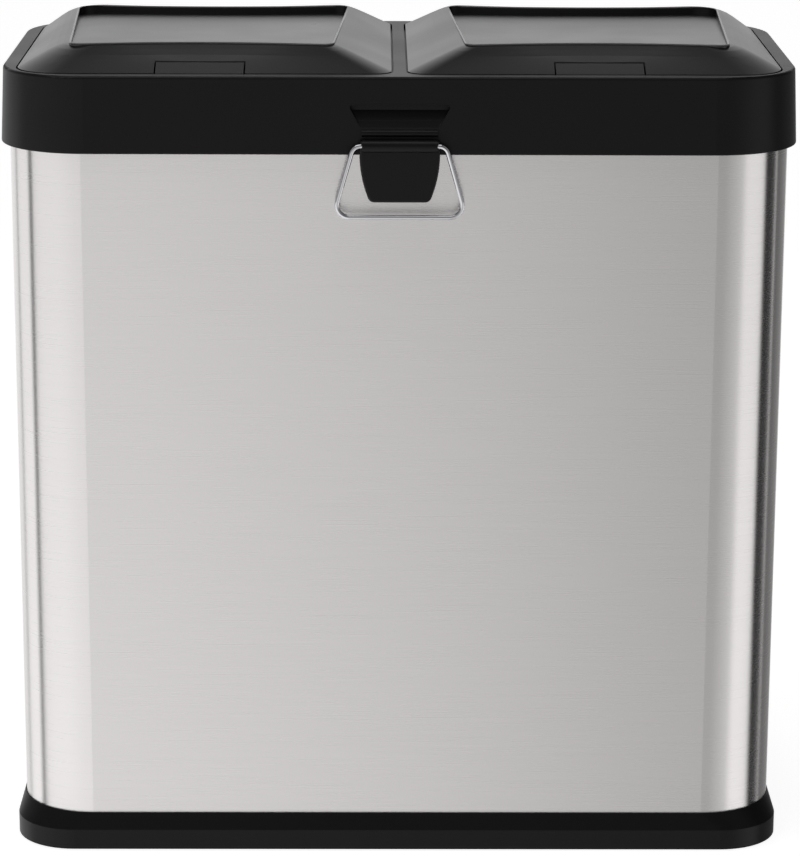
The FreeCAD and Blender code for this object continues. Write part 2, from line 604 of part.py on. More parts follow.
# --------------------------------------------------------------------------
# Buckets: tapered, with a turned-down lip and two hand holes under it.
BUCKET_X = "(divider_width / 2 + body_width / 2 - sheet - sheet_gap - collar_wall) / 2"
for side in (-1, 1):
    bucket = new_body(side_name("bucket", side))
    middle = mirrored(side, BUCKET_X)
    tag = side_name("bucket", side)
    low = new_sketch(bucket, tag + "_low", offset="tray_floor")
    outline(low, "low", rounded("bucket_bottom / 2", "bucket_bottom / 2", "bucket_heel", x=middle))
    high = new_sketch(bucket, tag + "_high", offset="bucket_top")
    outline(high, "high", rounded("bucket_mouth / 2", "bucket_mouth / 2", "bucket_corner", x=middle))
    loft(bucket, "AdditiveLoft", [low, high])
    band = new_sketch(bucket, tag + "_lip", offset="bucket_top")
    outline(band, "band", rounded(
        "bucket_mouth / 2 + bucket_lip", "bucket_mouth / 2 + bucket_lip",
        "bucket_corner + bucket_lip", x=middle))
    pad(bucket, band, "bucket_lip_drop", back=True)
    gutter = new_sketch(bucket, tag + "_gutter", offset="bucket_top - bucket_lip_drop")
    outline(gutter, "outer", rounded(
        "bucket_mouth / 2 + bucket_lip - bucket_lip_wall",
        "bucket_mouth / 2 + bucket_lip - bucket_lip_wall",
        "bucket_corner + bucket_lip - bucket_lip_wall", x=middle))
    outline(gutter, "inner", rounded(
        "bucket_mouth / 2 - bucket_wall / 2", "bucket_mouth / 2 - bucket_wall / 2",
        "bucket_corner - bucket_wall / 2", x=middle))
    pocket(bucket, gutter, "bucket_lip_drop - bucket_lip_wall", back=True)
    hollow_low = new_sketch(bucket, tag + "_hollow_low", offset="tray_floor + bucket_floor")
    outline(hollow_low, "low", rounded(
        "bucket_bottom / 2 - bucket_wall", "bucket_bottom / 2 - bucket_wall",
        "bucket_heel - bucket_wall", x=middle))
    hollow_high = new_sketch(bucket, tag + "_hollow_high", offset="bucket_top")
    outline(hollow_high, "high", rounded(
        "bucket_mouth / 2 - bucket_wall", "bucket_mouth / 2 - bucket_wall",
        "bucket_corner - bucket_wall", x=middle))
    loft(bucket, "SubtractiveLoft", [hollow_low, hollow_high])
    grip = new_sketch(bucket, tag + "_grips", role="XZ_Plane")
    outline(grip, "grip", rounded(
        "grip_width / 2", "grip_height / 2", "grip_round",
        x=middle, y="bucket_top - grip_drop - grip_height / 2"))
    pocket(bucket, grip, "bucket_mouth + 4 * bucket_lip", both=True)
    pieces.append(bucket)

# --------------------------------------------------------------------------
# Rear hinge brackets, riveted to the sheet, and the pins that the frame
# turns on.
BACK = "body_depth / 2"
for side in (-1, 1):
    bracket = new_body(side_name("hinge_bracket", side))
    tag = side_name("bracket", side)
    middle = mirrored(side, "frame_hinge_x")
    plate = new_sketch(bracket, tag + "_plate", role="XZ_Plane", offset="-(%s)" % BACK)
    outline(plate, "plate", rounded(
        "plate_width / 2", "plate_height / 2", "plate_round",
        x=middle, y="frame_axis_z - plate_drop - plate_height / 2"))
    pad(bracket, plate, "plate_thick", back=True)
    arm = new_sketch(bracket, tag + "_arm", role="YZ_Plane", offset=middle)
    foot_z = "frame_axis_z - plate_drop - plate_height + plate_round"
    outline(arm, "arm", [
        (BACK + " + plate_thick / 2", foot_z, None),
        (BACK + " + plate_thick + 1", foot_z, None),
        ("frame_axis_y + hinge_radius", "frame_axis_z - hinge_radius * 1.4", "hinge_radius"),
        ("frame_axis_y + hinge_radius", "frame_axis_z + hinge_radius", "hinge_radius * 0.98"),
        ("frame_axis_y - hinge_radius", "frame_axis_z + hinge_radius", "hinge_radius * 0.98"),
        ("frame_axis_y - hinge_radius", "frame_axis_z - plate_drop", None),
        (BACK + " + plate_thick / 2", "frame_axis_z - plate_drop", None)])
    pad(bracket, arm, "hinge_block", both=True)
    bore = new_sketch(bracket, tag + "_bore", role="YZ_Plane", offset=middle)
    disc(bore, "bore", "frame_axis_y", "frame_axis_z", "hinge_pin + pin_fit")
    pocket(bracket, bore, "hinge_block * 2", both=True)
    rivet_holes = new_sketch(bracket, tag + "_rivet_holes", role="XZ_Plane", offset="-(%s)" % BACK)
    for turn in (-1, 1):
        disc(rivet_holes, "hole_%s" % ("a" if turn < 0 else "b"),
             middle + " + " + mirrored(turn, "rivet_x"), "frame_axis_z - rivet_drop",
             "rivet_radius + pin_fit")
    pocket(bracket, rivet_holes, "plate_thick * 2", both=True)
    pieces.append(bracket)

# The sheet is pierced where the rivets pass.
pierced = new_sketch(shell, "body_rivet_holes", role="XZ_Plane", offset="-(%s)" % BACK)
rivets = []
pins = []
for side in (-1, 1):
    middle = mirrored(side, "frame_hinge_x")
    for turn in (-1, 1):
        tag = "%s%s" % ("l" if side < 0 else "r", "a" if turn < 0 else "b")
        place = middle + " + " + mirrored(turn, "rivet_x")
        disc(pierced, "hole_" + tag, place, "frame_axis_z - rivet_drop", "rivet_radius + pin_fit")
        shank = cylinder(
            "rivet_shank_" + tag, "rivet_radius",
            "sheet + plate_thick + rivet_tail / 2 + rivet_head_high / 2",
            (place, BACK + " - sheet - rivet_tail / 2", "frame_axis_z - rivet_drop"), "y")
        head = cylinder(
            "rivet_head_" + tag, "rivet_head", "rivet_head_high",
            (place, BACK + " + plate_thick", "frame_axis_z - rivet_drop"), "y")
        tail = cylinder(
            "rivet_tail_" + tag, "rivet_radius * 1.5", "rivet_tail",
            (place, BACK + " - sheet - rivet_tail", "frame_axis_z - rivet_drop"), "y")
        rivet = doc.addObject("Part::MultiFuse", "rivet_" + tag)
        rivet.Shapes = [shank, head, tail]
        rivets.append(rivet)
    pin_half = "(hinge_block / 2 + hinge_play + lug + pin_proud)"
    pins.append(cylinder(
        "frame_pin_" + ("l" if side < 0 else "r"), "hinge_pin", "2 * " + pin_half,
        (middle + " - " + pin_half, "frame_axis_y", "frame_axis_z"), "x"))
pocket(shell, pierced, "sheet * 4", both=True)
pieces.append(group("bracket_rivets", rivets))
pieces.append(group("frame_hinge_pins", pins))


# --------------------------------------------------------------------------
# Top frame.  The lid openings, lid seats and throats follow the lids' plan.
def lid_plan(side, grow):
    """Corners of a lid's footprint, grown outward by the given amount."""
    return [
        (mirrored(side, "lid_inner - (%s)" % grow), "-(lid_front + (%s))" % grow,
            "lid_inner_corner + (%s)" % grow),
        (mirrored(side, "lid_outer + (%s)" % grow), "-(lid_front + (%s))" % grow,
            "lid_front_corner + (%s)" % grow),
        (mirrored(side, "lid_outer + (%s)" % grow), "lid_rear + (%s)" % grow,
            "lid_rear_corner + (%s)" % grow),
        (mirrored(side, "lid_inner - (%s)" % grow), "lid_rear + (%s)" % grow,
            "lid_inner_corner + (%s)" % grow),
    ]


def both_plans(body, name, offset, grow):
    sketch = new_sketch(body, name, offset=offset)
    outline(sketch, "left", lid_plan(-1, grow))
    outline(sketch, "right", lid_plan(1, grow))
    return sketch


SEAT_Z = "rim_top - seat_drop"
frame = new_body("top_frame")
rim_low = new_sketch(frame, "rim_low", offset="rim_bottom")
outline(rim_low, "low", rounded("rim_width / 2", "rim_depth / 2", "rim_corner"))
rim_pad = pad(frame, rim_low, "rim_top - rim_bottom")
doc.recompute()
sides = []
for number, face in enumerate(rim_pad.Shape.Faces, start=1):
    if face.BoundBox.ZLength > 1:
        sides.append("Face%d" % number)
    elif face.BoundBox.ZMin < value("rim_bottom") + 0.1:
        rim_sole = "Face%d" % number
rim_lean = frame.newObject("PartDesign::Draft", "rim_lean")
rim_lean.Base = (rim_pad, sides)
rim_lean.NeutralPlane = (rim_pad, [rim_sole])
rim_lean.setExpression("Angle", tied("atan(rim_draft / (rim_top - rim_bottom))"))
doc.recompute()
rim_lean.Reversed = rim_lean.Shape.Volume > rim_pad.Shape.Volume
round_edges(frame, "rim_upper_round", "rim_edge", at_height("rim_top"))
round_edges(frame, "rim_lower_round", "rim_lower_edge", at_height("rim_bottom"))
hood_low = new_sketch(frame, "hood_low", offset="rim_bottom")
outline(hood_low, "low", rounded(
    "rim_width / 2 - rim_wall", "rim_depth / 2 - rim_wall", "rim_corner - rim_wall"))
hood_high = new_sketch(frame, "hood_high", offset="rim_top - deck")
outline(hood_high, "high", rounded(
    "rim_width / 2 - rim_wall - rim_draft", "rim_depth / 2 - rim_wall - rim_draft",
    "rim_corner - rim_wall - rim_draft"))
loft(frame, "SubtractiveLoft", [hood_low, hood_high])

# Lid seats and throats below the deck.
pad(frame, both_plans(frame, "seat_blocks", "rim_top - deck / 2", "(lid_inner - lid_gap) / 2 + lid_gap"),
    "seat_drop + seat_thick - deck / 2", back=True)
pad(frame, both_plans(frame, "throat_blocks", SEAT_Z, "throat_wall - seat_width"),
    "throat_drop - seat_drop", back=True)

# Ribs that stiffen the skirt and stand on the collar's flange.
RIB_FOOT = "body_head + collar_flange + rest_gap"
side_ribs = new_sketch(frame, "side_ribs", offset=RIB_FOOT)
for side, tag in ((-1, "left"), (1, "right")):
    for number in range(int(value("side_rib_count"))):
        place = "side_rib_pitch * (%d - (side_rib_count - 1) / 2)" % number
        outline(side_ribs, "%s_%d" % (tag, number), block(
            mirrored(side, "rim_width / 2 - rim_wall - rib_depth"), mirrored(side,
                "rim_width / 2 - rim_wall / 2 - rim_draft"),
            place + " - rib / 2", place + " + rib / 2"))
pad(frame, side_ribs, "rim_top - deck / 2 - (%s)" % RIB_FOOT)
end_ribs = new_sketch(frame, "end_ribs", offset=RIB_FOOT)
for end, end_tag in ((-1, "front"), (1, "rear")):
    for side, tag in ((-1, "left"), (1, "right")):
        for number in range(2):
            place = mirrored(side, "front_rib_start + front_rib_pitch * %d" % number)
            outline(end_ribs, "%s_%s_%d" % (end_tag, tag, number), block(
                place + " - rib / 2", place + " + rib / 2",
                mirrored(end, "rim_depth / 2 - rim_wall - rib_depth"), mirrored(end,
                    "rim_depth / 2 - rim_wall / 2 - rim_draft")))
pad(frame, end_ribs, "rim_top - deck / 2 - (%s)" % RIB_FOOT)

# The openings are cut after the ribs, so that no rib stands in a lid's gap.
pocket(frame, both_plans(frame, "lid_openings", "rim_top", "lid_gap"), "seat_drop")
pocket(frame, both_plans(frame, "throats", "rim_top", "-seat_width"), "throat_drop + 1")

# Scoop in the front face, with the block behind it, and the ridge below.
FACE = "(rim_depth / 2 - rim_draft * (%s - rim_bottom) / (rim_top - rim_bottom))"
FACE_TOP = FACE % "scoop_top"
FACE_LOW = FACE % "scoop_bottom"
backing = new_sketch(frame, "scoop_backing_sketch", role="XZ_Plane",
    offset="rim_depth / 2 - rim_draft - rim_wall / 2")
outline(backing, "backing", block(
    "-(scoop_top_half + scoop_frame)", "scoop_top_half + scoop_frame",
    RIB_FOOT, "scoop_top + scoop_frame"))
pad(frame, backing, "scoop_depth + scoop_backing - rim_wall / 2", back=True)
scoop_face = new_sketch(frame, "scoop_face", role="XZ_Plane", offset="%s + 1" % FACE_LOW)
outline(scoop_face, "face", [
    ("-scoop_bottom_half", "scoop_bottom", "2.5"),
    ("scoop_bottom_half", "scoop_bottom", "2.5"),
    ("scoop_top_half", "scoop_top", "2.5"),
    ("-scoop_top_half", "scoop_top", "2.5")])
scoop_back = new_sketch(frame, "scoop_back", role="XZ_Plane", offset="%s - scoop_depth" % FACE_TOP)
outline(scoop_back, "back", [
    ("-(scoop_top_half - scoop_lean - 1)", "scoop_top - scoop_lean - scoop_shelf", "1.2"),
    ("scoop_top_half - scoop_lean - 1", "scoop_top - scoop_lean - scoop_shelf", "1.2"),
    ("scoop_top_half - scoop_lean", "scoop_top - scoop_lean", "1.2"),
    ("-(scoop_top_half - scoop_lean)", "scoop_top - scoop_lean", "1.2")])
loft(frame, "SubtractiveLoft", [scoop_face, scoop_back])
ridge = new_sketch(frame, "ridge", role="YZ_Plane")
disc(ridge, "ridge", "-(%s - ridge_sink)" % (FACE % "ridge_z"), "ridge_z", "ridge_radius")
pad(frame, ridge, "2 * ridge_half", both=True)
screw_holes = new_sketch(frame, "frame_screw_holes", role="XZ_Plane", offset="rim_depth / 2 + 1")
for side in (-1, 1):
    disc(screw_holes, side_name("hole", side), mirrored(side, "screw_x"), "roll_z + screw_rise",
        "screw_radius + screw_fit")
pocket(frame, screw_holes, "scoop_depth + scoop_backing + rim_draft + 4")

# Pockets that guide the press catches.
CATCH_FRONT = "lid_front"
CATCH_REAR = "(lid_front - catch_depth)"
POCKET_Z = "rim_top - pocket_drop"
pocket_block = new_sketch(frame, "pocket_blocks", offset=SEAT_Z + " - 0.2")
pocket_hole = new_sketch(frame, "pocket_holes", offset="rim_top")
for side in (-1, 1):
    tag = "left" if side < 0 else "right"
    middle = mirrored(side, "catch_x")
    outline(pocket_block, tag, block(
        middle + " - catch_width / 2 - pocket_fit - pocket_wall",
        middle + " + catch_width / 2 + pocket_fit + pocket_wall",
        "-(%s + pocket_fit + pocket_wall)" % CATCH_FRONT, "-(%s - pocket_fit - pocket_wall)" % CATCH_REAR))
    outline(pocket_hole, tag, block(
        middle + " - catch_width / 2 - pocket_fit", middle + " + catch_width / 2 + pocket_fit",
        "-(%s + pocket_fit)" % CATCH_FRONT, "-(%s - pocket_fit)" % CATCH_REAR))
pad(frame, pocket_block, "%s - 0.2 - (%s) + pocket_floor" % (SEAT_Z, POCKET_Z), back=True)
pocket(frame, pocket_hole, "pocket_drop")

# Ears for the lid hinges on the rear of the deck.
LID_MIDDLE = "(lid_outer + lid_inner) / 2"
for side in (-1, 1):
    for turn in (-1, 1):
        hinge_x = mirrored(side, LID_MIDDLE + " + " + mirrored(turn, "lid_hinge_span"))
        tag = "ears_%s%s" % ("l" if side < 0 else "r", "a" if turn < 0 else "b")
        ears = new_sketch(frame, tag, role="YZ_Plane",
                          offset=hinge_x + " - knuckle_width / 2 - hinge_play - ear")
        outline(ears, "ear", [
            ("lid_axis_y - knuckle_radius", "rim_top - deck / 2", None),
            ("lid_axis_y + knuckle_radius", "rim_top - deck / 2", None),
            ("lid_axis_y + knuckle_radius", "lid_axis_z + knuckle_radius", "knuckle_radius * 0.98"),
            ("lid_axis_y - knuckle_radius", "lid_axis_z + knuckle_radius", "knuckle_radius * 0.98")])
        disc(ears, "bore", "lid_axis_y", "lid_axis_z", "lid_pin + pin_fit")
        first = pad(frame, ears, "ear")
        doc.recompute()
        pair = frame.newObject("PartDesign::LinearPattern", tag + "_pair")
        pair.Originals = [first]
        pair.Direction = (ears, ["N_Axis"])
        pair.Mode = "Spacing"
        pair.setExpression("Offset", tied("knuckle_width + 2 * hinge_play + ear"))
        pair.Occurrences = 2
        frame.Tip = pair

# Lugs that carry the frame on the rear hinge pins.
for side in (-1, 1):
    for turn in (-1, 1):
        middle = mirrored(side, "frame_hinge_x")
        start = middle + " + " + mirrored(turn, "hinge_block / 2 + hinge_play + lug / 2")
        tag = "lug_%s%s" % ("l" if side < 0 else "r", "a" if turn < 0 else "b")
        lug = new_sketch(frame, tag, role="YZ_Plane", offset=start)
        outline(lug, "lug", [
            ("rim_depth / 2 - rim_wall / 2 - rim_draft / 2", "rim_bottom + lug_top", None),
            ("rim_depth / 2 - rim_wall / 2 - rim_draft / 2", "rim_bottom + rim_lower_edge", None),
            ("frame_axis_y - hinge_radius", "frame_axis_z + 1", None),
            ("frame_axis_y - hinge_radius", "frame_axis_z - hinge_radius", "hinge_radius * 0.98"),
            ("frame_axis_y + hinge_radius", "frame_axis_z - hinge_radius", "hinge_radius * 0.98"),
            ("frame_axis_y + hinge_radius", "frame_axis_z + hinge_radius + 1", "4"),
            ("rim_depth / 2", "rim_bottom + lug_top", None)])
        disc(lug, "bore", "frame_axis_y", "frame_axis_z", "hinge_pin + pin_fit")
        pad(frame, lug, "lug", both=True)
pieces.append(frame)


# --------------------------------------------------------------------------
# Lids: four slopes up to a sunken panel with a bead round it, and a crest
# behind it that sags between its ends.
def panel_plan(side, grow):
    """Corners of the panel in the lid's top, grown outward by the given amount."""
    middle = "(panel_inner + panel_outer) / 2"
    return [
        (mirrored(side, "panel_inner - (%s)" % grow), "-(panel_near + (%s))" % grow,
            "panel_near_corner + (%s)" % grow),
        (mirrored(side, middle), "-(panel_near - panel_near_bow + (%s))" % grow,
            "panel_near_arc - (%s)" % grow),
        (mirrored(side, "panel_outer + (%s)" % grow), "-(panel_near + (%s))" % grow,
            "panel_near_corner + (%s)" % grow),
        (mirrored(side, "panel_outer_rear + (%s)" % grow), "panel_far + (%s)" % grow,
            "panel_outer_corner + (%s)" % grow),
        (mirrored(side, middle), "panel_far - panel_far_bow + (%s)" % grow, "panel_far_arc - (%s)" % grow),
        (mirrored(side, "panel_inner_rear - (%s)" % grow), "panel_far + (%s)" % grow,
            "panel_far_corner + (%s)" % grow),
    ]


def lid_foot(side):
    """The lid's footprint, its long edges drawn in slightly at their middles."""
    first, second, third, fourth = lid_plan(side, "0")
    middle = mirrored(side, "(lid_inner + lid_outer) / 2")
    return [first, (middle, "-(lid_front - plan_bow)", "panel_near_arc"), second,
            third, (middle, "lid_rear - plan_bow", "panel_far_arc"), fourth]


def lid_top(side, front, inner, outer, rear):
    """Where the slopes would meet the lid's top, drawn in by the four amounts."""
    near = "panel_near + top_margin - (%s)" % front
    far = "panel_far + crest_width - (%s)" % rear
    middle = mirrored(side, "(panel_inner + panel_outer) / 2")
    return [
        (mirrored(side, "panel_inner - top_margin + (%s)" % inner), "-(%s)" % near,
            "panel_near_corner + top_margin"),
        (middle, "-(%s - panel_near_bow)" % near, "panel_near_arc - top_margin"),
        (mirrored(side, "panel_outer + top_outer_margin - (%s)" % outer), "-(%s)" % near,
            "top_outer_corner"),
        (mirrored(side, "panel_outer_rear + top_outer_margin - (%s)" % outer), far,
            "panel_outer_corner + top_outer_margin"),
        (middle, "%s - panel_far_bow" % far, "panel_far_arc"),
        (mirrored(side, "panel_inner_rear - top_margin + (%s)" % inner), far,
            "panel_far_corner + top_margin"),
    ]


def between(low, high, share):
    """Corners part of the way up from one outline to another."""
    text = "(%s) + ((%s) - (%s)) * (%s)"
    return [tuple(text % (start, end, start, share) for start, end in zip(one, two))
            for one, two in zip(low, high)]


# The front slope's depth at the middle of a lid, where the catch lies.
BROW_RUN = "(lid_front - panel_near - top_margin + panel_near_bow * 0.72)"


def bowed_slab(sketch, side, inner, outer, low, sag, top):
    """A region above a gently sagging line, as a cut for the lid's top."""
    first, last = sorted((value(mirrored(side, inner)), value(mirrored(side, outer))))
    names = sorted((mirrored(side, inner), mirrored(side, outer)), key=value)
    level, dip, head = value(low), value(sag), value(top)
    half = (last - first) / 2.0
    radius = (half * half + dip * dip) / (2.0 * dip)
    centre = FreeCAD.Vector((first + last) / 2.0, level - dip + radius, 0)
    spread = math.asin(half / radius)
    arc = sketch.addGeometry(Part.ArcOfCircle(
        Part.Circle(centre, FreeCAD.Vector(0, 0, 1), radius),
        -math.pi / 2 - spread, -math.pi / 2 + spread), False)
    right = sketch.addGeometry(Part.LineSegment(
        FreeCAD.Vector(last, level, 0), FreeCAD.Vector(last, head, 0)), False)
    over = sketch.addGeometry(Part.LineSegment(
        FreeCAD.Vector(last, head, 0), FreeCAD.Vector(first, head, 0)), False)
    left = sketch.addGeometry(Part.LineSegment(
        FreeCAD.Vector(first, head, 0), FreeCAD.Vector(first, level, 0)), False)
    plain = [Sketcher.Constraint("Coincident", one, 2, two, 1)
             for one, two in ((arc, right), (right, over), (over, left), (left, arc))]
    plain.append(Sketcher.Constraint("Vertical", right))
    plain.append(Sketcher.Constraint("Vertical", left))
    plain.append(Sketcher.Constraint("Horizontal", over))
    bow = "((%s - (%s)) ^ 2 / 4 + (%s) ^ 2) / (2 * (%s))" % (outer, inner, sag, sag)
    drive(sketch, [
        (Sketcher.Constraint("DistanceX", -1, 1, left, 2, first), "start_x", names[0]),
        (Sketcher.Constraint("DistanceX", -1, 1, right, 1, last), "end_x", names[1]),
        (Sketcher.Constraint("DistanceY", -1, 1, left, 2, level), "start_z", low),
        (Sketcher.Constraint("DistanceY", -1, 1, right, 1, level), "end_z", low),
        (Sketcher.Constraint("DistanceY", -1, 1, over, 1, head), "head_z", top),
        (Sketcher.Constraint("Radius", arc, radius), "bow", bow)], plain)


def tilted(sketch, low_z, high_z, low_y, high_y):
    """Tips a level sketch about X so that it rises from front to back."""
    rise = "((%s) - (%s)) / ((%s) - (%s))" % (high_z, low_z, high_y, low_y)
    angle = math.degrees(math.atan(value(rise)))
    middle = "((%s) + (%s)) / 2 - (%s) * ((%s) + (%s)) / 2" % (low_z, high_z, rise, low_y, high_y)
    sketch.AttachmentOffset = FreeCAD.Placement(
        FreeCAD.Vector(0, 0, value(middle)), FreeCAD.Rotation(FreeCAD.Vector(1, 0, 0), angle))
    sketch.setExpression("AttachmentOffset.Base.z", tied(middle))
    sketch.setExpression("AttachmentOffset.Rotation.Angle", tied("atan(%s)" % rise))


for side in (-1, 1):
    lid = new_body(side_name("lid", side))
    tag = side_name("lid", side)
    sill = new_sketch(lid, tag + "_sill", offset="lid_sill")
    outline(sill, "sill", lid_plan(side, "0"))
    pad(lid, sill, "lid_band - lid_sill")
    slope = new_sketch(lid, tag + "_slope", offset="lid_band")
    outline(slope, "slope", lid_foot(side))
    levels = [slope]
    for number, rounded_off in enumerate((0, 0.3, 0.55, 0.78, 1)):
        # Up the round, the rise slows as the outline draws in.
        share = "1 - (1 - shoulder) * %g ^ 2" % (1 - rounded_off)
        drawn = ["shoulder_%s * %g" % (name, rounded_off ** 2) for name in ("front", "inner", "outer",
            "rear")]
        level = new_sketch(lid, "%s_level_%d" % (tag, number))
        outline(level, "level", between(lid_foot(side), lid_top(side, *drawn), share))
        low = "lid_band + (lid_brow - lid_band) * (%s)" % share
        high = "lid_band + (lid_crest - lid_band) * (%s)" % share
        tilted(level, low, high, "-panel_near", "panel_far")
        levels.append(level)
    loft(lid, "AdditiveLoft", levels)

    # The bead stands on the top, and the panel is cut inside it.
    bead = new_sketch(lid, tag + "_bead")
    outline(bead, "bead", panel_plan(side, "bead_width"))
    tilted(bead, "bead_front", "bead_rear", "-panel_near", "panel_far")
    pad(lid, bead, "bead_root", back=True)
    # The crest sags a little between its ends.
    sag = new_sketch(lid, tag + "_sag", role="XZ_Plane", offset="-panel_far / 2")
    bowed_slab(sag, side, "panel_inner_rear - 8", "panel_outer_rear + 8",
               "lid_crest + crest_sag / 6", "crest_sag", "lid_crest + 20")
    pocket(lid, sag, "panel_far * 2.4", both=True)
    panel = new_sketch(lid, tag + "_panel")
    outline(panel, "panel", panel_plan(side, "0"))
    tilted(panel, "panel_front", "panel_rear", "-panel_near", "panel_far")
    pocket(lid, panel, "20", back=True)

    # Hollow underside, which follows the slopes and the panel.
    hollow_low = new_sketch(lid, tag + "_hollow_low", offset="lid_sill")
    outline(hollow_low, "low", lid_plan(side, "-lid_wall"))
    pocket(lid, hollow_low, "lid_band - lid_sill - 0.4", back=True)
    hollow_mid = new_sketch(lid, tag + "_hollow_mid", offset="lid_band - 0.5")
    outline(hollow_mid, "mid", lid_plan(side, "-lid_wall"))
    hollow_top = new_sketch(lid, tag + "_hollow_top")
    share_near = "((panel_front - lid_band) / (lid_brow - lid_band))"
    share_far = "((panel_rear - lid_band) / (lid_brow - lid_band))"
    near_y = "lid_front - (lid_front - panel_near + panel_near_bow) * " + share_near
    far_y = "lid_rear - (lid_rear - panel_far) * " + share_far
    in_x = "lid_inner + (panel_inner - lid_inner) * " + share_near
    out_x = "lid_outer - (lid_outer - panel_outer) * " + share_near
    in_x_far = "lid_inner + (panel_inner_rear - lid_inner) * " + share_far
    out_x_far = "lid_outer - (lid_outer - panel_outer_rear) * " + share_far
    outline(hollow_top, "top", [
        (mirrored(side, in_x + " + lid_wall"), "-(%s - lid_wall)" % near_y, "lid_inner_corner - lid_wall"),
        (mirrored(side, out_x + " - lid_wall"), "-(%s - lid_wall)" % near_y, "lid_front_corner - lid_wall"),
        (mirrored(side, out_x_far + " - lid_wall"), "%s - lid_wall" % far_y, "lid_rear_corner - lid_wall"),
        (mirrored(side, in_x_far + " + lid_wall"), "%s - lid_wall" % far_y, "lid_inner_corner - lid_wall")])
    tilted(hollow_top, "panel_front - lid_wall * 1.2", "panel_rear - lid_wall * 1.2", "-panel_near",
        "panel_far")
    loft(lid, "SubtractiveLoft", [hollow_mid, hollow_top])

    # Notch for the press catch and the strike rib behind it.
    middle = mirrored(side, "catch_x")
    notch = new_sketch(lid, tag + "_notch", offset="lid_brow + 5")
    outline(notch, "notch", block(
        middle + " - catch_width / 2 - catch_gap", middle + " + catch_width / 2 + catch_gap",
        "-(lid_front + 2)", "-(%s - catch_gap)" % CATCH_REAR))
    pocket(lid, notch, "lid_brow + 6 - lid_sill")
    strike_y = "%s - nose_reach - strike_gap" % CATCH_REAR
    strike = new_sketch(lid, tag + "_strike", offset="strike_end")
    outline(strike, "strike", block(
        middle + " - strike_width / 2", middle + " + strike_width / 2",
        "-(%s)" % strike_y, "-(%s - strike)" % strike_y))
    slope_z = "lid_band + (lid_front - (%s)) * (lid_brow - lid_band) / %s" % (strike_y, BROW_RUN)
    pad(lid, strike, slope_z + " - lid_wall / 2 - strike_end")

    # Knuckles at the rear, each with a web down to the lid.
    for turn in (-1, 1):
        hinge_x = mirrored(side, LID_MIDDLE + " + " + mirrored(turn, "lid_hinge_span"))
        arm = new_sketch(lid, "%s_knuckle_%s" % (tag, "a" if turn < 0 else "b"), role="YZ_Plane",
            offset=hinge_x)
        outline(arm, "web", [
            ("lid_rear - lid_wall / 2", "lid_band - 0.1", None),
            ("lid_axis_y + knuckle_radius", "lid_axis_z - knuckle_radius", "knuckle_radius * 0.98"),
            ("lid_axis_y + knuckle_radius", "lid_axis_z + knuckle_radius", "knuckle_radius * 0.98"),
            ("lid_rear - 9", "lid_axis_z + knuckle_radius", "3"),
            ("lid_rear - 13", "lid_axis_z - knuckle_radius + 2.2", None)])
        disc(arm, "bore", "lid_axis_y", "lid_axis_z", "lid_pin + pin_fit")
        pad(lid, arm, "knuckle_width", both=True)
    pieces.append(lid)

    # Hinge pins of this lid.
    lid_pins = []
    for turn in (-1, 1):
        hinge_x = mirrored(side, LID_MIDDLE + " + " + mirrored(turn, "lid_hinge_span"))
        pin_half = "(knuckle_width / 2 + hinge_play + ear + pin_proud)"
        lid_pins.append(cylinder(
            "%s_pin_%s" % (tag, "a" if turn < 0 else "b"), "lid_pin", "2 * " + pin_half,
            (hinge_x + " - " + pin_half, "lid_axis_y", "lid_axis_z"), "x"))
    pieces.append(group(side_name("lid_pins", side), lid_pins))

    # Press catch: a tab whose face carries on the lid's front slope, hollow
    # below, with a nose on its rear face.
    catch = new_body(side_name("catch", side))
    tag = side_name("catch", side)
    rise = "(lid_brow - lid_band) / " + BROW_RUN
    profile = new_sketch(catch, tag + "_profile", role="YZ_Plane", offset=middle)
    outline(profile, "profile", [
        ("-" + CATCH_FRONT, "rim_top - catch_skirt", None),
        ("-" + CATCH_REAR, "rim_top - catch_skirt", None),
        ("-" + CATCH_REAR, "lid_band + catch_depth * " + rise, "1.2"),
        ("-" + CATCH_FRONT, "lid_band", "0.8")])
    pad(catch, profile, "catch_width", both=True)
    cup = new_sketch(catch, tag + "_cup", role="YZ_Plane", offset=middle)
    outline(cup, "cup", [
        ("-(%s - catch_wall)" % CATCH_FRONT, "rim_top - catch_skirt - 1", None),
        ("-(%s + catch_wall)" % CATCH_REAR, "rim_top - catch_skirt - 1", None),
        ("-(%s + catch_wall)" % CATCH_REAR, "lid_band - catch_wall + (catch_depth - catch_wall) * " + rise,
            None),
        ("-(%s - catch_wall)" % CATCH_FRONT, "lid_band - catch_wall + catch_wall * " + rise, None)])
    pocket(catch, cup, "catch_width - 2 * catch_wall", both=True)
    nose = new_sketch(catch, tag + "_nose", role="YZ_Plane", offset=middle)
    outline(nose, "nose", [
        ("-(%s + catch_wall / 2)" % CATCH_REAR, "nose_top", None),
        ("-(%s + catch_wall / 2)" % CATCH_REAR, "nose_top - 3.4", None),
        ("-%s" % CATCH_REAR, "nose_top - 3.4", None),
        ("-(%s - nose_reach)" % CATCH_REAR, "nose_top - 1.6", None),
        ("-(%s - nose_reach)" % CATCH_REAR, "nose_top", None)])
    pad(catch, nose, "nose_width", both=True)
    pieces.append(catch)


# --------------------------------------------------------------------------
# Springs, each one unbroken round wire wound from its own sizes.
def coil(radius, pitch, turns, wire):
    """A wound wire about Z, starting at the origin's level on +X."""
    path = Part.makeHelix(pitch, pitch * turns, radius)
    start = path.Edges[0].valueAt(path.Edges[0].FirstParameter)
    along = path.Edges[0].tangentAt(path.Edges[0].FirstParameter)
    section = Part.Wire([Part.makeCircle(wire, start, along)])
    return Part.Wire(path.Edges).makePipeShell([section], True, True)


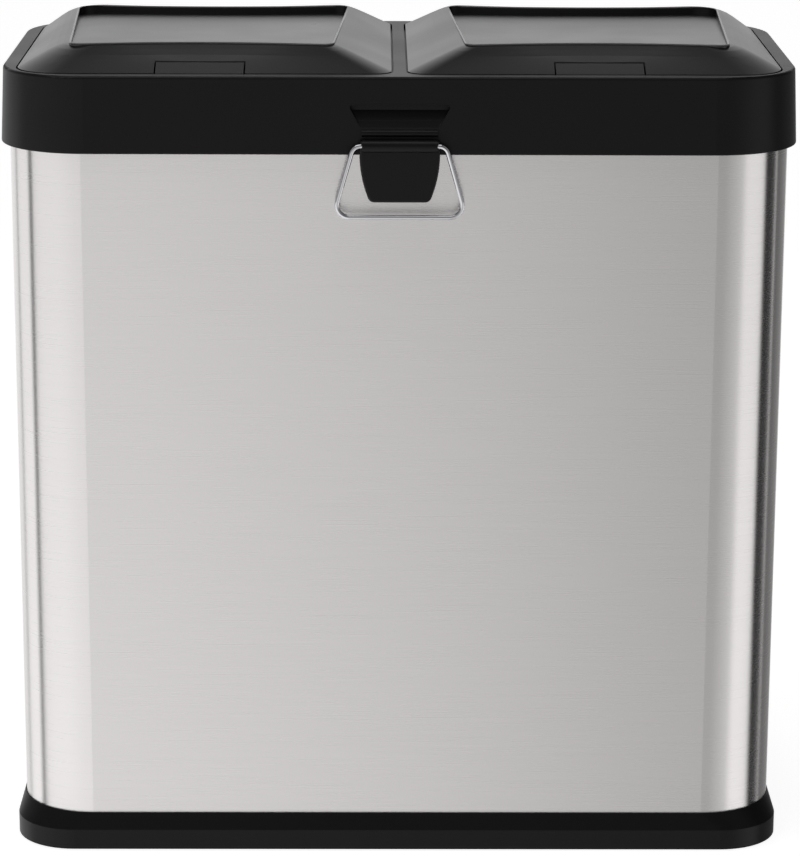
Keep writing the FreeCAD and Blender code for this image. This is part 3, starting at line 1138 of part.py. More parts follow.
for side in (-1, 1):
    # Compression springs under the press catch.
    floor_z = value(POCKET_Z)
    lean = value("(lid_brow - lid_band) / " + BROW_RUN)
    ceiling = value("lid_band - catch_wall") + value("catch_depth / 2") * lean
    wire = value("spring_wire")
    length = ceiling - value("spring_radius + spring_wire") * lean - 0.3 - floor_z
    turns = value("spring_turns")
    springs = []
    for turn in (-1, 1):
        shape = coil(value("spring_radius"), (length - 2 * wire) / turns, turns, wire)
        shape.translate(FreeCAD.Vector(
            side * value("catch_x") + turn * value("spring_x"), -value("lid_front - catch_depth / 2"),
            floor_z + wire))
        springs.append(shape)
    spring = doc.addObject("Part::Feature", side_name("catch_springs", side))
    spring.Label = side_name("catch_springs", side)
    spring.Shape = Part.makeCompound(springs)
    pieces.append(spring)

# --------------------------------------------------------------------------
# Clip at the front: a tab with bowed sides in front of the steel, hollow
# behind, and a roll across its top that holds the wire pull.
clip = new_body("handle_clip")
tab = new_sketch(clip, "clip_tab", role="XZ_Plane", offset="body_depth / 2 + clip_stand")
top_z, foot_z, waist = value("clip_top"), value("clip_bottom"), value("clip_waist")
bow = value("clip_side")
bow_x = value("clip_half") - bow
top_x = bow_x + math.sqrt(bow * bow - (top_z - waist) ** 2)
foot_x = bow_x + math.sqrt(bow * bow - (foot_z - waist) ** 2)
right_bow = tab.addGeometry(Part.ArcOfCircle(
    Part.Circle(FreeCAD.Vector(bow_x, waist, 0), FreeCAD.Vector(0, 0, 1), bow),
    math.asin((foot_z - waist) / bow), math.asin((top_z - waist) / bow)), False)
left_bow = tab.addGeometry(Part.ArcOfCircle(
    Part.Circle(FreeCAD.Vector(-bow_x, waist, 0), FreeCAD.Vector(0, 0, 1), bow),
    math.pi - math.asin((top_z - waist) / bow), math.pi - math.asin((foot_z - waist) / bow)), False)
tab_top = tab.addGeometry(Part.LineSegment(
    FreeCAD.Vector(top_x, top_z, 0), FreeCAD.Vector(-top_x, top_z, 0)), False)
tab_foot = tab.addGeometry(Part.LineSegment(
    FreeCAD.Vector(-foot_x, foot_z, 0), FreeCAD.Vector(foot_x, foot_z, 0)), False)
plain = [Sketcher.Constraint("Coincident", one, 2, two, 1) for one, two in (
    (right_bow, tab_top), (tab_top, left_bow), (left_bow, tab_foot), (tab_foot, right_bow))]
plain.append(Sketcher.Constraint("Horizontal", tab_top))
plain.append(Sketcher.Constraint("Horizontal", tab_foot))
driven = [
    (Sketcher.Constraint("DistanceY", -1, 1, tab_top, 1, top_z), "top_z", "clip_top"),
    (Sketcher.Constraint("DistanceY", -1, 1, tab_foot, 1, foot_z), "foot_z", "clip_bottom")]
for name, arc, sign in (("right", right_bow, 1), ("left", left_bow, -1)):
    place = "clip_half - clip_side" if sign > 0 else "clip_side - clip_half"
    driven.append((Sketcher.Constraint("DistanceX", -1, 1, arc, 3, sign * bow_x), name + "_x", place))
    driven.append((Sketcher.Constraint("DistanceY", -1, 1, arc, 3, waist), name + "_z", "clip_waist"))
    driven.append((Sketcher.Constraint("Radius", arc, bow), name + "_r", "clip_side"))
drive(tab, driven, plain)
pad(clip, tab, "clip_front - body_depth / 2 - clip_stand")
round_edges(clip, "clip_foot_corners", "clip_foot_round", lambda edge: (
    edge.BoundBox.ZMax < value("clip_bottom") + 0.1 and edge.BoundBox.XLength < 0.1))
front_face = -value("clip_front")
round_edges(clip, "clip_front_round", "clip_round", lambda edge: (
    edge.BoundBox.YMax < front_face + 0.01 and edge.BoundBox.ZMin < value("clip_top") - 0.5))
relief = new_sketch(clip, "clip_relief", role="XZ_Plane", offset="rim_depth / 2 + clip_seat")
outline(relief, "relief", block(
    "-(clip_half + 5)", "clip_half + 5", "rim_bottom - clip_clear", "clip_top + 20"))
pocket(clip, relief, "rim_depth / 2 + clip_seat - body_depth / 2")
hollow = new_sketch(clip, "clip_hollow", role="XZ_Plane", offset="body_depth / 2 + clip_stand")
outline(hollow, "hollow", [
    ("-(clip_half - clip_wall - 8)", "clip_bottom + clip_wall", "3"),
    ("clip_half - clip_wall - 8", "clip_bottom + clip_wall", "3"),
    ("clip_half - clip_wall - 1", "clip_waist - 14", "6"),
    ("clip_half - clip_wall - 1", "rim_bottom - clip_clear - clip_wall", "2"),
    ("-(clip_half - clip_wall - 1)", "rim_bottom - clip_clear - clip_wall", "2"),
    ("-(clip_half - clip_wall - 1)", "clip_waist - 14", "6")])
pocket(clip, hollow, "clip_front - clip_wall - body_depth / 2 - clip_stand", back=True)
roll = new_sketch(clip, "clip_roll", role="YZ_Plane")
disc(roll, "roll", "-roll_y", "roll_z", "roll_radius")
pad(clip, roll, "2 * roll_half", both=True)
seat_cut = new_sketch(clip, "clip_seat_cut", role="XZ_Plane", offset="rim_depth / 2 + clip_seat")
outline(seat_cut, "cut", block("-(clip_half + 5)", "clip_half + 5", "rim_bottom", "clip_top + 20"))
pocket(clip, seat_cut, "roll_radius * 2")
for side in (-1, 1):
    wire_bore = new_sketch(clip, side_name("clip_wire_bore", side), role="YZ_Plane", offset=mirrored(side,
        "clip_half + 2"))
    disc(wire_bore, "bore", "-roll_y", "roll_z", "wire + wire_fit")
    pocket(clip, wire_bore, "clip_half + 2 - wire_end + 0.5", back=(side < 0))
screw_bores = new_sketch(clip, "clip_screw_bores", role="XZ_Plane", offset="rim_depth / 2 + clip_seat")
for side in (-1, 1):
    disc(screw_bores, side_name("bore", side), mirrored(side, "screw_x"), "roll_z + screw_rise",
        "screw_radius + pin_fit")
pocket(clip, screw_bores, "screw_depth", back=True)
pieces.append(clip)

# Screws that hold the clip from inside the frame.
screws = []
for side in (-1, 1):
    tag = "l" if side < 0 else "r"
    seat_y = "-(rim_depth / 2 - rim_draft - scoop_depth - scoop_backing)"
    head = cylinder("screw_head_" + tag, "screw_head", "screw_head_high", (
        mirrored(side, "screw_x"), seat_y, "roll_z + screw_rise"), "y")
    shank = cylinder("screw_shank_" + tag, "screw_radius",
                     "rim_depth / 2 + clip_seat + screw_depth - 0.4 + (%s) + screw_head_high / 2" % seat_y,
                     (
                         mirrored(side, "screw_x"), "-(rim_depth / 2 + clip_seat + screw_depth - 0.4)",
                         "roll_z + screw_rise"), "y")
    screw = doc.addObject("Part::MultiFuse", "clip_screw_" + tag)
    screw.Shapes = [head, shank]
    screws.append(screw)
pieces.append(group("clip_screws", screws))

# Wire pull: one bent wire, its ends turned into the roll.
pull = new_body("wire_pull")
path = new_sketch(pull, "pull_path", role="XZ_Plane", offset="roll_y")
outline(path, "path", [
    ("-wire_end", "roll_z", None),
    ("-wire_shoulder", "roll_z", "wire_bend"),
    ("-wire_foot", "roll_z - wire_drop", "wire_turn"),
    ("wire_foot", "roll_z - wire_drop", "wire_turn"),
    ("wire_shoulder", "roll_z", "wire_bend"),
    ("wire_end", "roll_z", None)], closed=False)
section = new_sketch(pull, "pull_section", role="YZ_Plane", offset="-wire_end")
disc(section, "section", "-roll_y", "roll_z", "wire")
sweep = pull.newObject("PartDesign::AdditivePipe", "pull_sweep")
sweep.Profile = section
sweep.Spine = path
pieces.append(pull)

# --------------------------------------------------------------------------
doc.recompute()
faults = []
for item in doc.Objects:
    if "Invalid" in item.State or "Error" in item.State:
        faults.append("%s is %s" % (item.Name, item.State))
for item in doc.Objects:
    if item.TypeId in ("PartDesign::Pocket", "PartDesign::SubtractiveLoft", "PartDesign::Pad",
        "PartDesign::AdditiveLoft"):
        before = item.BaseFeature
        if before is not None and not item.Shape.isNull() and not before.Shape.isNull():
            change = item.Shape.Volume - before.Shape.Volume
            cuts = item.TypeId in ("PartDesign::Pocket", "PartDesign::SubtractiveLoft")
            if (change > -0.01) if cuts else (change < 0.01):
                faults.append("%s changes the volume by %.3f" % (item.Name, change))
for piece in pieces:
    if piece.Shape.isNull() or not piece.Shape.isValid():
        faults.append("%s has no valid shape" % piece.Label)
if faults:
    raise RuntimeError("; ".join(faults))

os.makedirs("parts", exist_ok=True)
for piece in pieces:
    piece.Shape.exportStep("parts/%s.step" % piece.Label)
    box = piece.Shape.BoundBox
    print("%-22s %d solids %9.1f mm3  x %.1f..%.1f  y %.1f..%.1f  z %.1f..%.1f" % (
        piece.Label, len(piece.Shape.Solids), piece.Shape.Volume,
        box.XMin, box.XMax, box.YMin, box.YMax, box.ZMin, box.ZMax))
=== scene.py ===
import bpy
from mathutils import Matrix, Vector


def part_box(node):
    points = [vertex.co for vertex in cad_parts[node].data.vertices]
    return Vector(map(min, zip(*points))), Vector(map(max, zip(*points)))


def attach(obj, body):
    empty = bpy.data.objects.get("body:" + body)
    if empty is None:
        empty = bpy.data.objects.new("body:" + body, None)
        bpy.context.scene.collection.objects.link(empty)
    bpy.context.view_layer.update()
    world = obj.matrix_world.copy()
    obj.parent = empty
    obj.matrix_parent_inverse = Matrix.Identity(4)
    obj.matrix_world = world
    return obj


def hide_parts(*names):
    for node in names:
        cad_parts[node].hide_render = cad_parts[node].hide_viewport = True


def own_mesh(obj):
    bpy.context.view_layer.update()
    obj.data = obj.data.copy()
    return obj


bl_info = {
    "name": "Double Recycling Bin",
    "version": (1, 0, 0),
    "blender": (4, 5, 0),
    "location": "3D View > Sidebar > Bin",
    "description": "Finishes, small fittings and a photo stage for a double recycling bin",
    "category": "Object",
}

import math

import bpy
from bpy.props import FloatProperty, FloatVectorProperty, IntProperty, PointerProperty
from mathutils import Matrix

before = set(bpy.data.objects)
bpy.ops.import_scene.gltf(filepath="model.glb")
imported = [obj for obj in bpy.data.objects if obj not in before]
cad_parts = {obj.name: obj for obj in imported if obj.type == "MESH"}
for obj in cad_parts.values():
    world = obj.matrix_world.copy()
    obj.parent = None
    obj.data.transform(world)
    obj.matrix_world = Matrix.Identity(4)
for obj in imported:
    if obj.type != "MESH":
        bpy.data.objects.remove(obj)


# ---------------------------------------------------------------- helpers
def linear(hex_colour):
    """An sRGB hex colour as linear red, green and blue."""
    parts = [int(hex_colour[i:i + 2], 16) / 255 for i in (1, 3, 5)]
    return tuple(p / 12.92 if p <= 0.04045 else ((p + 0.055) / 1.055) ** 2.4 for p in parts)


def add_node(tree, kind, settings=None, values=None, links=None):
    """A new node with its settings, its socket values and its incoming links."""
    node = tree.nodes.new(kind)
    for name, value in (settings or {}).items():
        setattr(node, name, value)
    for name, value in (values or {}).items():
        node.inputs[name].default_value = value
    for name, source in (links or {}).items():
        tree.links.new(source, node.inputs[name])
    return node


def start_material(name, **values):
    """A material with one Principled shader; the values go on its own sockets."""
    material = bpy.data.materials.new(name)
    material.use_nodes = True
    tree = material.node_tree
    tree.nodes.clear()
    shader = add_node(tree, "ShaderNodeBsdfPrincipled", values=values)
    add_node(tree, "ShaderNodeOutputMaterial", links={"Surface": shader.outputs["BSDF"]})
    return material, tree, shader


def scaled_place(tree, scale):
    """Object coordinates, in metres, stretched by the given scale."""
    place = add_node(tree, "ShaderNodeTexCoord")
    mapping = add_node(tree, "ShaderNodeMapping", values={"Scale": scale},
                       links={"Vector": place.outputs["Object"]})
    return mapping.outputs["Vector"]


def spread(tree, source, low, high):
    """A 0..1 value spread between two numbers."""
    return add_node(tree, "ShaderNodeMapRange", values={"To Min": low, "To Max": high},
                    links={"Value": source}).outputs["Result"]


def choose(piece):
    """Makes one piece the only one that the next operator acts on."""
    bpy.ops.object.select_all(action="DESELECT")
    piece.select_set(True)
    bpy.context.view_layer.objects.active = piece


def settle(piece):
    """Puts a finished piece's place into its mesh and turns its faces outward."""
    choose(piece)
    bpy.ops.object.transform_apply(location=True, rotation=True, scale=True)
    bpy.ops.object.mode_set(mode="EDIT")
    bpy.ops.mesh.select_all(action="SELECT")
    bpy.ops.mesh.normals_make_consistent(inside=False)
    bpy.ops.object.mode_set(mode="OBJECT")


def paint(material, *names):
    """Gives CAD nodes or pieces one material."""
    for name in names:
        slots = bpy.data.objects[name].data.materials
        slots.clear()
        slots.append(material)


# ---------------------------------------------------------------- settings
class BinColours(bpy.types.PropertyGroup):
    plastic: FloatVectorProperty(
        name="Moulded plastic", description="Top frame, lids, base and clip",
        subtype="COLOR", size=3, min=0, max=1, default=linear("#141415"))
    # The pale bead colour is a painted highlight: it stands in for the overhead light mirrored in the bead's
    # round edge, not for wear.
    bead_highlight_colour: FloatVectorProperty(
        name="Bead highlight plastic", description="Bead about each lid's panel, painted pale as its highlight",
        subtype="COLOR", size=3, min=0, max=1, default=linear("#77777a"))
    bucket: FloatVectorProperty(
        name="Buckets", description="Buckets inside the bin",
        subtype="COLOR", size=3, min=0, max=1, default=linear("#3a3b3d"))
    steel: FloatVectorProperty(
        name="Steel", description="Brushed sheet of the body",
        subtype="COLOR", size=3, min=0, max=1, default=linear("#e3e0df"))
    wire: FloatVectorProperty(
        name="Wire", description="Bright wire pull",
        subtype="COLOR", size=3, min=0, max=1, default=linear("#c4c4c7"))
    zinc: FloatVectorProperty(
        name="Zinc", description="Plated pins, rivets, screws and springs",
        subtype="COLOR", size=3, min=0, max=1, default=linear("#bfc1c4"))
    rubber: FloatVectorProperty(
        name="Rubber", description="Feet under the base",
        subtype="COLOR", size=3, min=0, max=1, default=linear("#1b1b1b"))


class BinSizes(bpy.types.PropertyGroup):
    grain: FloatProperty(
        name="Brushing", description="Spacing of the brushed lines on the steel",
        unit="LENGTH", min=0.0001, default=0.0007)
    grain_run: FloatProperty(
        name="Brushing length", description="Length of one brushed line",
        unit="LENGTH", min=0.001, default=0.08)
    mould_grain: FloatProperty(
        name="Mould grain", description="Size of the mould's grain on the plastic",
        unit="LENGTH", min=0.0001, default=0.0009)
    spring: FloatProperty(
        name="Catch spring", description="Radius of a catch spring, to the middle of its wire",
        unit="LENGTH", min=0.001, default=0.003)
    spring_wire: FloatProperty(
        name="Spring wire", description="Radius of the catch springs' wire",
        unit="LENGTH", min=0.0001, default=0.00045)
    spring_turns: IntProperty(
        name="Spring turns", description="Turns of a catch spring", min=2, default=6)
    bead: FloatProperty(
        name="Panel bead", description="Thickness of the round bead about each lid's panel",
        unit="LENGTH", min=0.0004, default=0.0016)


class StageSettings(bpy.types.PropertyGroup):
    side: FloatProperty(
        name="Camera offset", description="Camera to the right of the middle of the bin",
        unit="LENGTH", default=-0.0172)
    distance: FloatProperty(
        name="Camera distance", description="Camera in front of the middle of the bin",
        unit="LENGTH", default=2.5674)
    height: FloatProperty(
        name="Camera height", description="Camera above the floor",
        unit="LENGTH", default=0.9675)
    pitch: FloatProperty(
        name="Camera pitch", description="Camera tilted down",
        subtype="ANGLE", default=0.2564)
    roll: FloatProperty(
        name="Camera roll", description="Camera turned about its own axis",
        subtype="ANGLE", default=0.0038)
    yaw: FloatProperty(
        name="Camera yaw", description="Camera turned sideways",
        subtype="ANGLE", default=-0.0075)
    lens: FloatProperty(
        name="Lens", description="Focal length on a 36 mm sensor, in millimetres",
        unit="CAMERA", default=141.94)
    surround: FloatProperty(
        name="Surround", description="Brightness of the studio round the bin",
        min=0, default=1.0)
    overhead: FloatProperty(
        name="Overhead light", description="Power of the soft light above the bin",
        subtype="POWER", min=0, default=10.0)


# ---------------------------------------------------------------- materials
def moulded_plastic(name, colour, grain, roughness, bump, shine):
    """Polypropylene, injection moulded in a fine textured tool: a satin, slightly
    uneven gloss and no visible colour change. Shine 0.5 is the smooth plastic's own;
    a matt textured surface gets less."""
    material, tree, shader = start_material(
        name, **{"Base Color": (*colour, 1), "IOR": 1.49, "Specular IOR Level": shine})
    # Real mould grain is about 0.2 mm; it is drawn coarser so that it shows.
    fine = add_node(tree, "ShaderNodeTexNoise", values={"Scale": 1.0, "Detail": 3.0, "Roughness": 0.6},
                    links={"Vector": scaled_place(tree, (1 / grain,) * 3)})
    # Slow changes in gloss, about 70 mm across, from flow in the mould.
    slow = add_node(tree, "ShaderNodeTexNoise", values={"Scale": 1.0, "Detail": 2.0},
                    links={"Vector": scaled_place(tree, (14, 14, 14))})
    gloss = spread(tree, slow.outputs["Fac"], roughness - 0.05, roughness + 0.05)
    tree.links.new(gloss, shader.inputs["Roughness"])
    relief = add_node(tree, "ShaderNodeBump", values={"Strength": bump, "Distance": grain * 0.25},
                      links={"Height": fine.outputs["Fac"]})
    tree.links.new(relief.outputs["Normal"], shader.inputs["Normal"])
    return material


def brushed_steel(colour, grain, run):
    """Stainless steel sheet, brushed along its length: reflections stay sharp along
    the lines and smear across them, and single lines catch the light."""
    material, tree, shader = start_material(
        "brushed_stainless_steel", **{
            "Base Color": (*colour, 1), "Metallic": 1.0, "Anisotropic": 1.0, "Anisotropic Rotation": 0.25})
    # Brush lines are about 0.1 mm apart; they are drawn coarser so that they show.
    lines = add_node(tree, "ShaderNodeTexNoise", values={"Scale": 1.0, "Detail": 4.0, "Roughness": 0.7},
                     links={"Vector": scaled_place(tree, (1 / run, 1 / run, 1 / grain))})
    gloss = spread(tree, lines.outputs["Fac"], 0.23, 0.30)
    tree.links.new(gloss, shader.inputs["Roughness"])
    relief = add_node(tree, "ShaderNodeBump", values={"Strength": 0.07, "Distance": grain * 0.1},
                      links={"Height": lines.outputs["Fac"]})
    tree.links.new(relief.outputs["Normal"], shader.inputs["Normal"])
    return material


def plated_steel(name, colour, roughness):
    """Plated steel wire and pins: bright and smooth, with faint drawing lines."""
    material, tree, shader = start_material(
        name, **{"Base Color": (*colour, 1), "Metallic": 1.0})
    # Drawing marks are well under a millimetre; they are drawn about 1 mm apart.
    marks = add_node(tree, "ShaderNodeTexNoise", values={"Scale": 1.0, "Detail": 3.0},
                     links={"Vector": scaled_place(tree, (900, 900, 900))})
    gloss = spread(tree, marks.outputs["Fac"], roughness * 0.7, roughness * 1.3)
    tree.links.new(gloss, shader.inputs["Roughness"])
    return material


def foot_rubber(colour):
    """Moulded rubber: matt, with a fine open grain."""
    material, tree, shader = start_material(
        "moulded_rubber", **{"Base Color": (*colour, 1), "IOR": 1.52, "Roughness": 0.75})
    # The grain is about 0.8 mm, as coarse as it needs to be to show.
    grain = add_node(tree, "ShaderNodeTexNoise", values={"Scale": 1.0, "Detail": 2.0},
                     links={"Vector": scaled_place(tree, (1200, 1200, 1200))})
    relief = add_node(tree, "ShaderNodeBump", values={"Strength": 0.3, "Distance": 0.0002},
                      links={"Height": grain.outputs["Fac"]})
    tree.links.new(relief.outputs["Normal"], shader.inputs["Normal"])
    return material


# ---------------------------------------------------------------- pieces
class BIN_OT_mouldings(bpy.types.Operator):
    """Gives the black mouldings their matt plastic, and the lids and catches a satin one"""
    bl_idname = "bin.mouldings"
    bl_label = "Black mouldings"

    def execute(self, context):
        scene = context.scene
        colour = scene.bin_colours.plastic
        grain = scene.bin_sizes.mould_grain
        matt = moulded_plastic("textured_polypropylene", colour, grain, 0.40, 0.12, 0.2)
        paint(matt, "top_frame", "handle_clip", "base_tray", "body_collar",
              "hinge_bracket_left", "hinge_bracket_right")
        satin = moulded_plastic("satin_polypropylene", colour, grain, 0.30, 0.06, 0.5)
        paint(satin, "lid_left", "lid_right", "catch_left", "catch_right")
        return {"FINISHED"}


class BIN_OT_body(bpy.types.Operator):
    """Gives the body its brushed steel"""
    bl_idname = "bin.body"
    bl_label = "Steel body"

    def execute(self, context):
        scene = context.scene
        sizes = scene.bin_sizes
        paint(brushed_steel(scene.bin_colours.steel, sizes.grain, sizes.grain_run), "steel_body")
        return {"FINISHED"}


class BIN_OT_buckets(bpy.types.Operator):
    """Gives the two buckets their plain plastic"""
    bl_idname = "bin.buckets"
    bl_label = "Buckets"

    def execute(self, context):
        scene = context.scene
        coarser = scene.bin_sizes.mould_grain * 1.5
        plastic = moulded_plastic(
            "bucket_polypropylene", scene.bin_colours.bucket, coarser, 0.45, 0.15, 0.5)
        paint(plastic, "bucket_left", "bucket_right")
        return {"FINISHED"}


class BIN_OT_metal_fittings(bpy.types.Operator):
    """Gives the wire pull, pins, rivets, screws and springs their plating"""
    bl_idname = "bin.metal_fittings"
    bl_label = "Metal fittings"

    def execute(self, context):
        colours = context.scene.bin_colours
        paint(plated_steel("bright_chromed_wire", colours.wire, 0.10), "wire_pull")
        paint(plated_steel("zinc_plated_steel", colours.zinc, 0.30),
              "bracket_rivets", "frame_hinge_pins", "lid_pins_left", "lid_pins_right",
              "catch_springs_left", "catch_springs_right", "clip_screws")
        return {"FINISHED"}


class BIN_OT_feet(bpy.types.Operator):
    """Gives the feet their rubber"""
    bl_idname = "bin.feet"
    bl_label = "Rubber feet"

    def execute(self, context):
        paint(foot_rubber(context.scene.bin_colours.rubber), "rubber_feet")
        return {"FINISHED"}


class BIN_OT_catch_springs(bpy.types.Operator):
    """Winds the two coil springs under each press catch, at one fixed length"""
    bl_idname = "bin.catch_springs"
    bl_label = "Catch springs"

    def execute(self, context):
        sizes = context.scene.bin_sizes
        for side in ("left", "right"):
            low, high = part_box("catch_springs_" + side)
            length = high[2] - low[2]
            first = self.wind(sizes, length)
            reach = sizes.spring + sizes.spring_wire
            first.location = (low[0] + reach, (low[1] + high[1]) / 2, low[2])
            choose(first)
            bpy.ops.object.duplicate()
            second = context.object
            second.location.x = high[0] - reach
            first.select_set(True)
            bpy.ops.object.join()
            pair = context.object
            pair.name = "catch_coils_" + side
            settle(pair)
            pair.data.materials.append(bpy.data.materials["zinc_plated_steel"])
            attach(pair, "top_frame")
            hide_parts("catch_springs_" + side)
            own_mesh(pair)
        return {"FINISHED"}

    def wind(self, sizes, length):
        """One coil of round wire that stands on the origin, its two ends closed."""
        bpy.ops.object.select_all(action="DESELECT")
        bpy.ops.mesh.primitive_circle_add(vertices=10, radius=sizes.spring_wire,
                                          location=(sizes.spring, 0, sizes.spring_wire),
                                          rotation=(math.pi / 2, 0, 0))
        bpy.ops.object.transform_apply(location=True, rotation=True, scale=True)
        coil = bpy.context.object
        screw = coil.modifiers.new("turns", "SCREW")
        screw.iterations = sizes.spring_turns
        screw.screw_offset = (length - 2 * sizes.spring_wire) / sizes.spring_turns
        screw.steps = screw.render_steps = 24
        bpy.ops.object.modifier_apply(modifier="turns")
        bpy.ops.object.mode_set(mode="EDIT")
        bpy.ops.mesh.select_all(action="SELECT")
        bpy.ops.mesh.remove_doubles(threshold=0.00001)
        bpy.ops.mesh.select_all(action="DESELECT")
        bpy.ops.mesh.select_mode(type="EDGE")
        bpy.ops.mesh.select_non_manifold()
        bpy.ops.mesh.fill_holes(sides=0)
        bpy.ops.object.mode_set(mode="OBJECT")
        bpy.ops.object.shade_smooth_by_angle(angle=math.radians(50))
        return coil


# The sunken panel in the right lid, in metres from the middle of the bin. Its front
# and rear; the inner and outer ends of these two long edges; how far each bends in
# at its middle and the radius of the bend; the corners' roundings, by (outer, rear);
# the height of the ridge about the panel at the front and the rear, and its width.
PANEL_NEAR, PANEL_FAR = 0.101, 0.106
PANEL_FRONT_EDGE, PANEL_REAR_EDGE = (0.050, 0.241), (0.0395, 0.2515)
NEAR_BEND, FAR_BEND = (0.013, 0.420), (0.009, 0.620)
PANEL_CORNERS = {(0, 0): 0.0075, (1, 0): 0.0075, (0, 1): 0.0095, (1, 1): 0.0165}
RIDGE_FRONT, RIDGE_REAR, RIDGE_WIDTH = 0.6119, 0.6123, 0.0017


def bent(place, half, bend):
    """How far a long edge of the panel bends in, at a place along its half length."""
    depth, radius = bend
    straight_from = radius * depth / half
    legs = depth * (1 - max(place, straight_from) / half)
    return legs + max(0.0, straight_from ** 2 - place ** 2) / (2 * radius)


class BIN_OT_panel_beads(bpy.types.Operator):
    """Makes the round bead on the ridge about each lid's panel, in a pale plastic that paints its highlight
    """
    bl_idname = "bin.panel_beads"
    bl_label = "Panel beads"

    def execute(self, context):
        scene = context.scene
        # The bead's pale colour is a painted highlight, for the overhead light mirrored in its round edge.
        highlight_plastic = moulded_plastic(
            "bead_painted_highlight_polypropylene", scene.bin_colours.bead_highlight_colour, scene.bin_sizes.mould_grain, 0.25, 0.02, 0.5)
        right = self.make_bead(scene.bin_sizes.bead)
        choose(right)
        bpy.ops.object.duplicate()
        left = context.object
        left.scale.x = -1
        for bead, side in ((right, "right"), (left, "left")):
            bead.name = "panel_bead_" + side
            settle(bead)
            bead.data.materials.append(highlight_plastic)
            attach(bead, "lid_" + side)
        return {"FINISHED"}

    def make_bead(self, width):
        """The right bead: the panel's outline, laid on the ridge and given a round section."""
        bpy.ops.object.select_all(action="DESELECT")
        bpy.ops.mesh.primitive_plane_add(size=2)
        bead = bpy.context.object
        for vertex in bead.data.vertices:
            outer, far = int(vertex.co.x > 0), int(vertex.co.y > 0)
            away = RIDGE_WIDTH / 2
            edge = PANEL_REAR_EDGE if far else PANEL_FRONT_EDGE
            vertex.co.x = edge[outer] + (away if outer else -away)
            vertex.co.y = PANEL_FAR + away if far else -PANEL_NEAR - away
        bpy.ops.object.mode_set(mode="EDIT")
        for (outer, far), radius in PANEL_CORNERS.items():
            self.round_corner(bead, outer, far, radius)
        bpy.ops.mesh.select_all(action="SELECT")
        bpy.ops.mesh.delete(type="ONLY_FACE")
        bpy.ops.mesh.select_all(action="SELECT")
        bpy.ops.mesh.subdivide(number_cuts=15)
        bpy.ops.object.mode_set(mode="OBJECT")
        self.lay_on_ridge(bead, width)
        bpy.ops.object.convert(target="CURVE")
        bead.data.bevel_depth = width / 2
        bead.data.bevel_resolution = 3
        bpy.ops.object.convert(target="MESH")
        bpy.ops.object.shade_smooth_by_angle(angle=math.radians(40))
        return bpy.context.object

    def round_corner(self, bead, outer, far, radius):
        """Rounds one corner of the flat outline, found by its place."""
        bpy.ops.mesh.select_all(action="DESELECT")
        bpy.ops.object.mode_set(mode="OBJECT")
        middle = sum(PANEL_FRONT_EDGE) / 2
        corner = max(bead.data.vertices, key=lambda vertex: (
            (1 if outer else -1) * (vertex.co.x - middle) + (1 if far else -1) * vertex.co.y))
        corner.select = True
        bpy.ops.object.mode_set(mode="EDIT")
        bpy.ops.mesh.bevel(offset=radius, segments=7, affect="VERTICES")

    def lay_on_ridge(self, bead, width):
        """Bends the outline's two long edges in and lifts it onto the sloping ridge."""
        middle = sum(PANEL_FRONT_EDGE) / 2
        slope = (RIDGE_REAR - RIDGE_FRONT) / (PANEL_NEAR + PANEL_FAR)
        for vertex in bead.data.vertices:
            place = abs(vertex.co.x - middle)
            edge, bend = (PANEL_REAR_EDGE, FAR_BEND) if vertex.co.y > 0 else (PANEL_FRONT_EDGE, NEAR_BEND)
            half = (edge[1] - edge[0]) / 2
            reach = abs(vertex.co.y) / (PANEL_FAR if vertex.co.y > 0 else PANEL_NEAR)
            on_long_edge = reach > 0.9
            if on_long_edge:
                shift = bent(min(place, half), half, bend)
                vertex.co.y -= math.copysign(shift, vertex.co.y)
            sunk = width * 0.3
            vertex.co.z = RIDGE_FRONT + slope * (vertex.co.y + PANEL_NEAR) - sunk


# ---------------------------------------------------------------- stage
# Brightness of the studio round the bin: degrees from the camera's side of the
# bin, minus to the left, and the brightness there. Narrow dark strips are the
# black flags beside the softboxes.
AROUND = [
    (-180, 0.95), (-134, 0.95), (-131, 0.15), (-127, 1.2), (-98, 1.25), (-95, 0.02), (-90, 0.02),
    (-87, 1.25), (-45, 1.25), (-13, 1.15), (-7, 1.06), (-3, 0.94), (2, 0.82), (7, 0.58),
    (16, 0.54), (44, 0.78), (54, 1.2), (84, 1.25), (89, 0.04), (110, 0.04), (113, 0.9),
    (117, 0.15), (155, 0.30), (165, 0.85), (180, 0.95),
]
# From straight down to straight above, everywhere but low at the back: the height of
# a unit direction, and the share of that brightness there. The floor is bright, and
# above it the room is unlit.
UPWARD = [(-1.0, 1.15), (-0.42, 1.1), (-0.2, 0.98), (-0.04, 0.80), (0.06, 0.30), (1.0, 0.20)]


def brightness_ramp(tree, source, stops):
    """A colour ramp through pairs of a position from 0 to 1 and a brightness."""
    ramp = add_node(tree, "ShaderNodeValToRGB", links={"Fac": source})
    elements = ramp.color_ramp.elements
    for number, (position, level) in enumerate(stops):
        stop = elements[number] if number < 2 else elements.new(position)
        stop.position = position
        stop.color = (level, level, level, 1)
    return ramp.outputs["Color"]


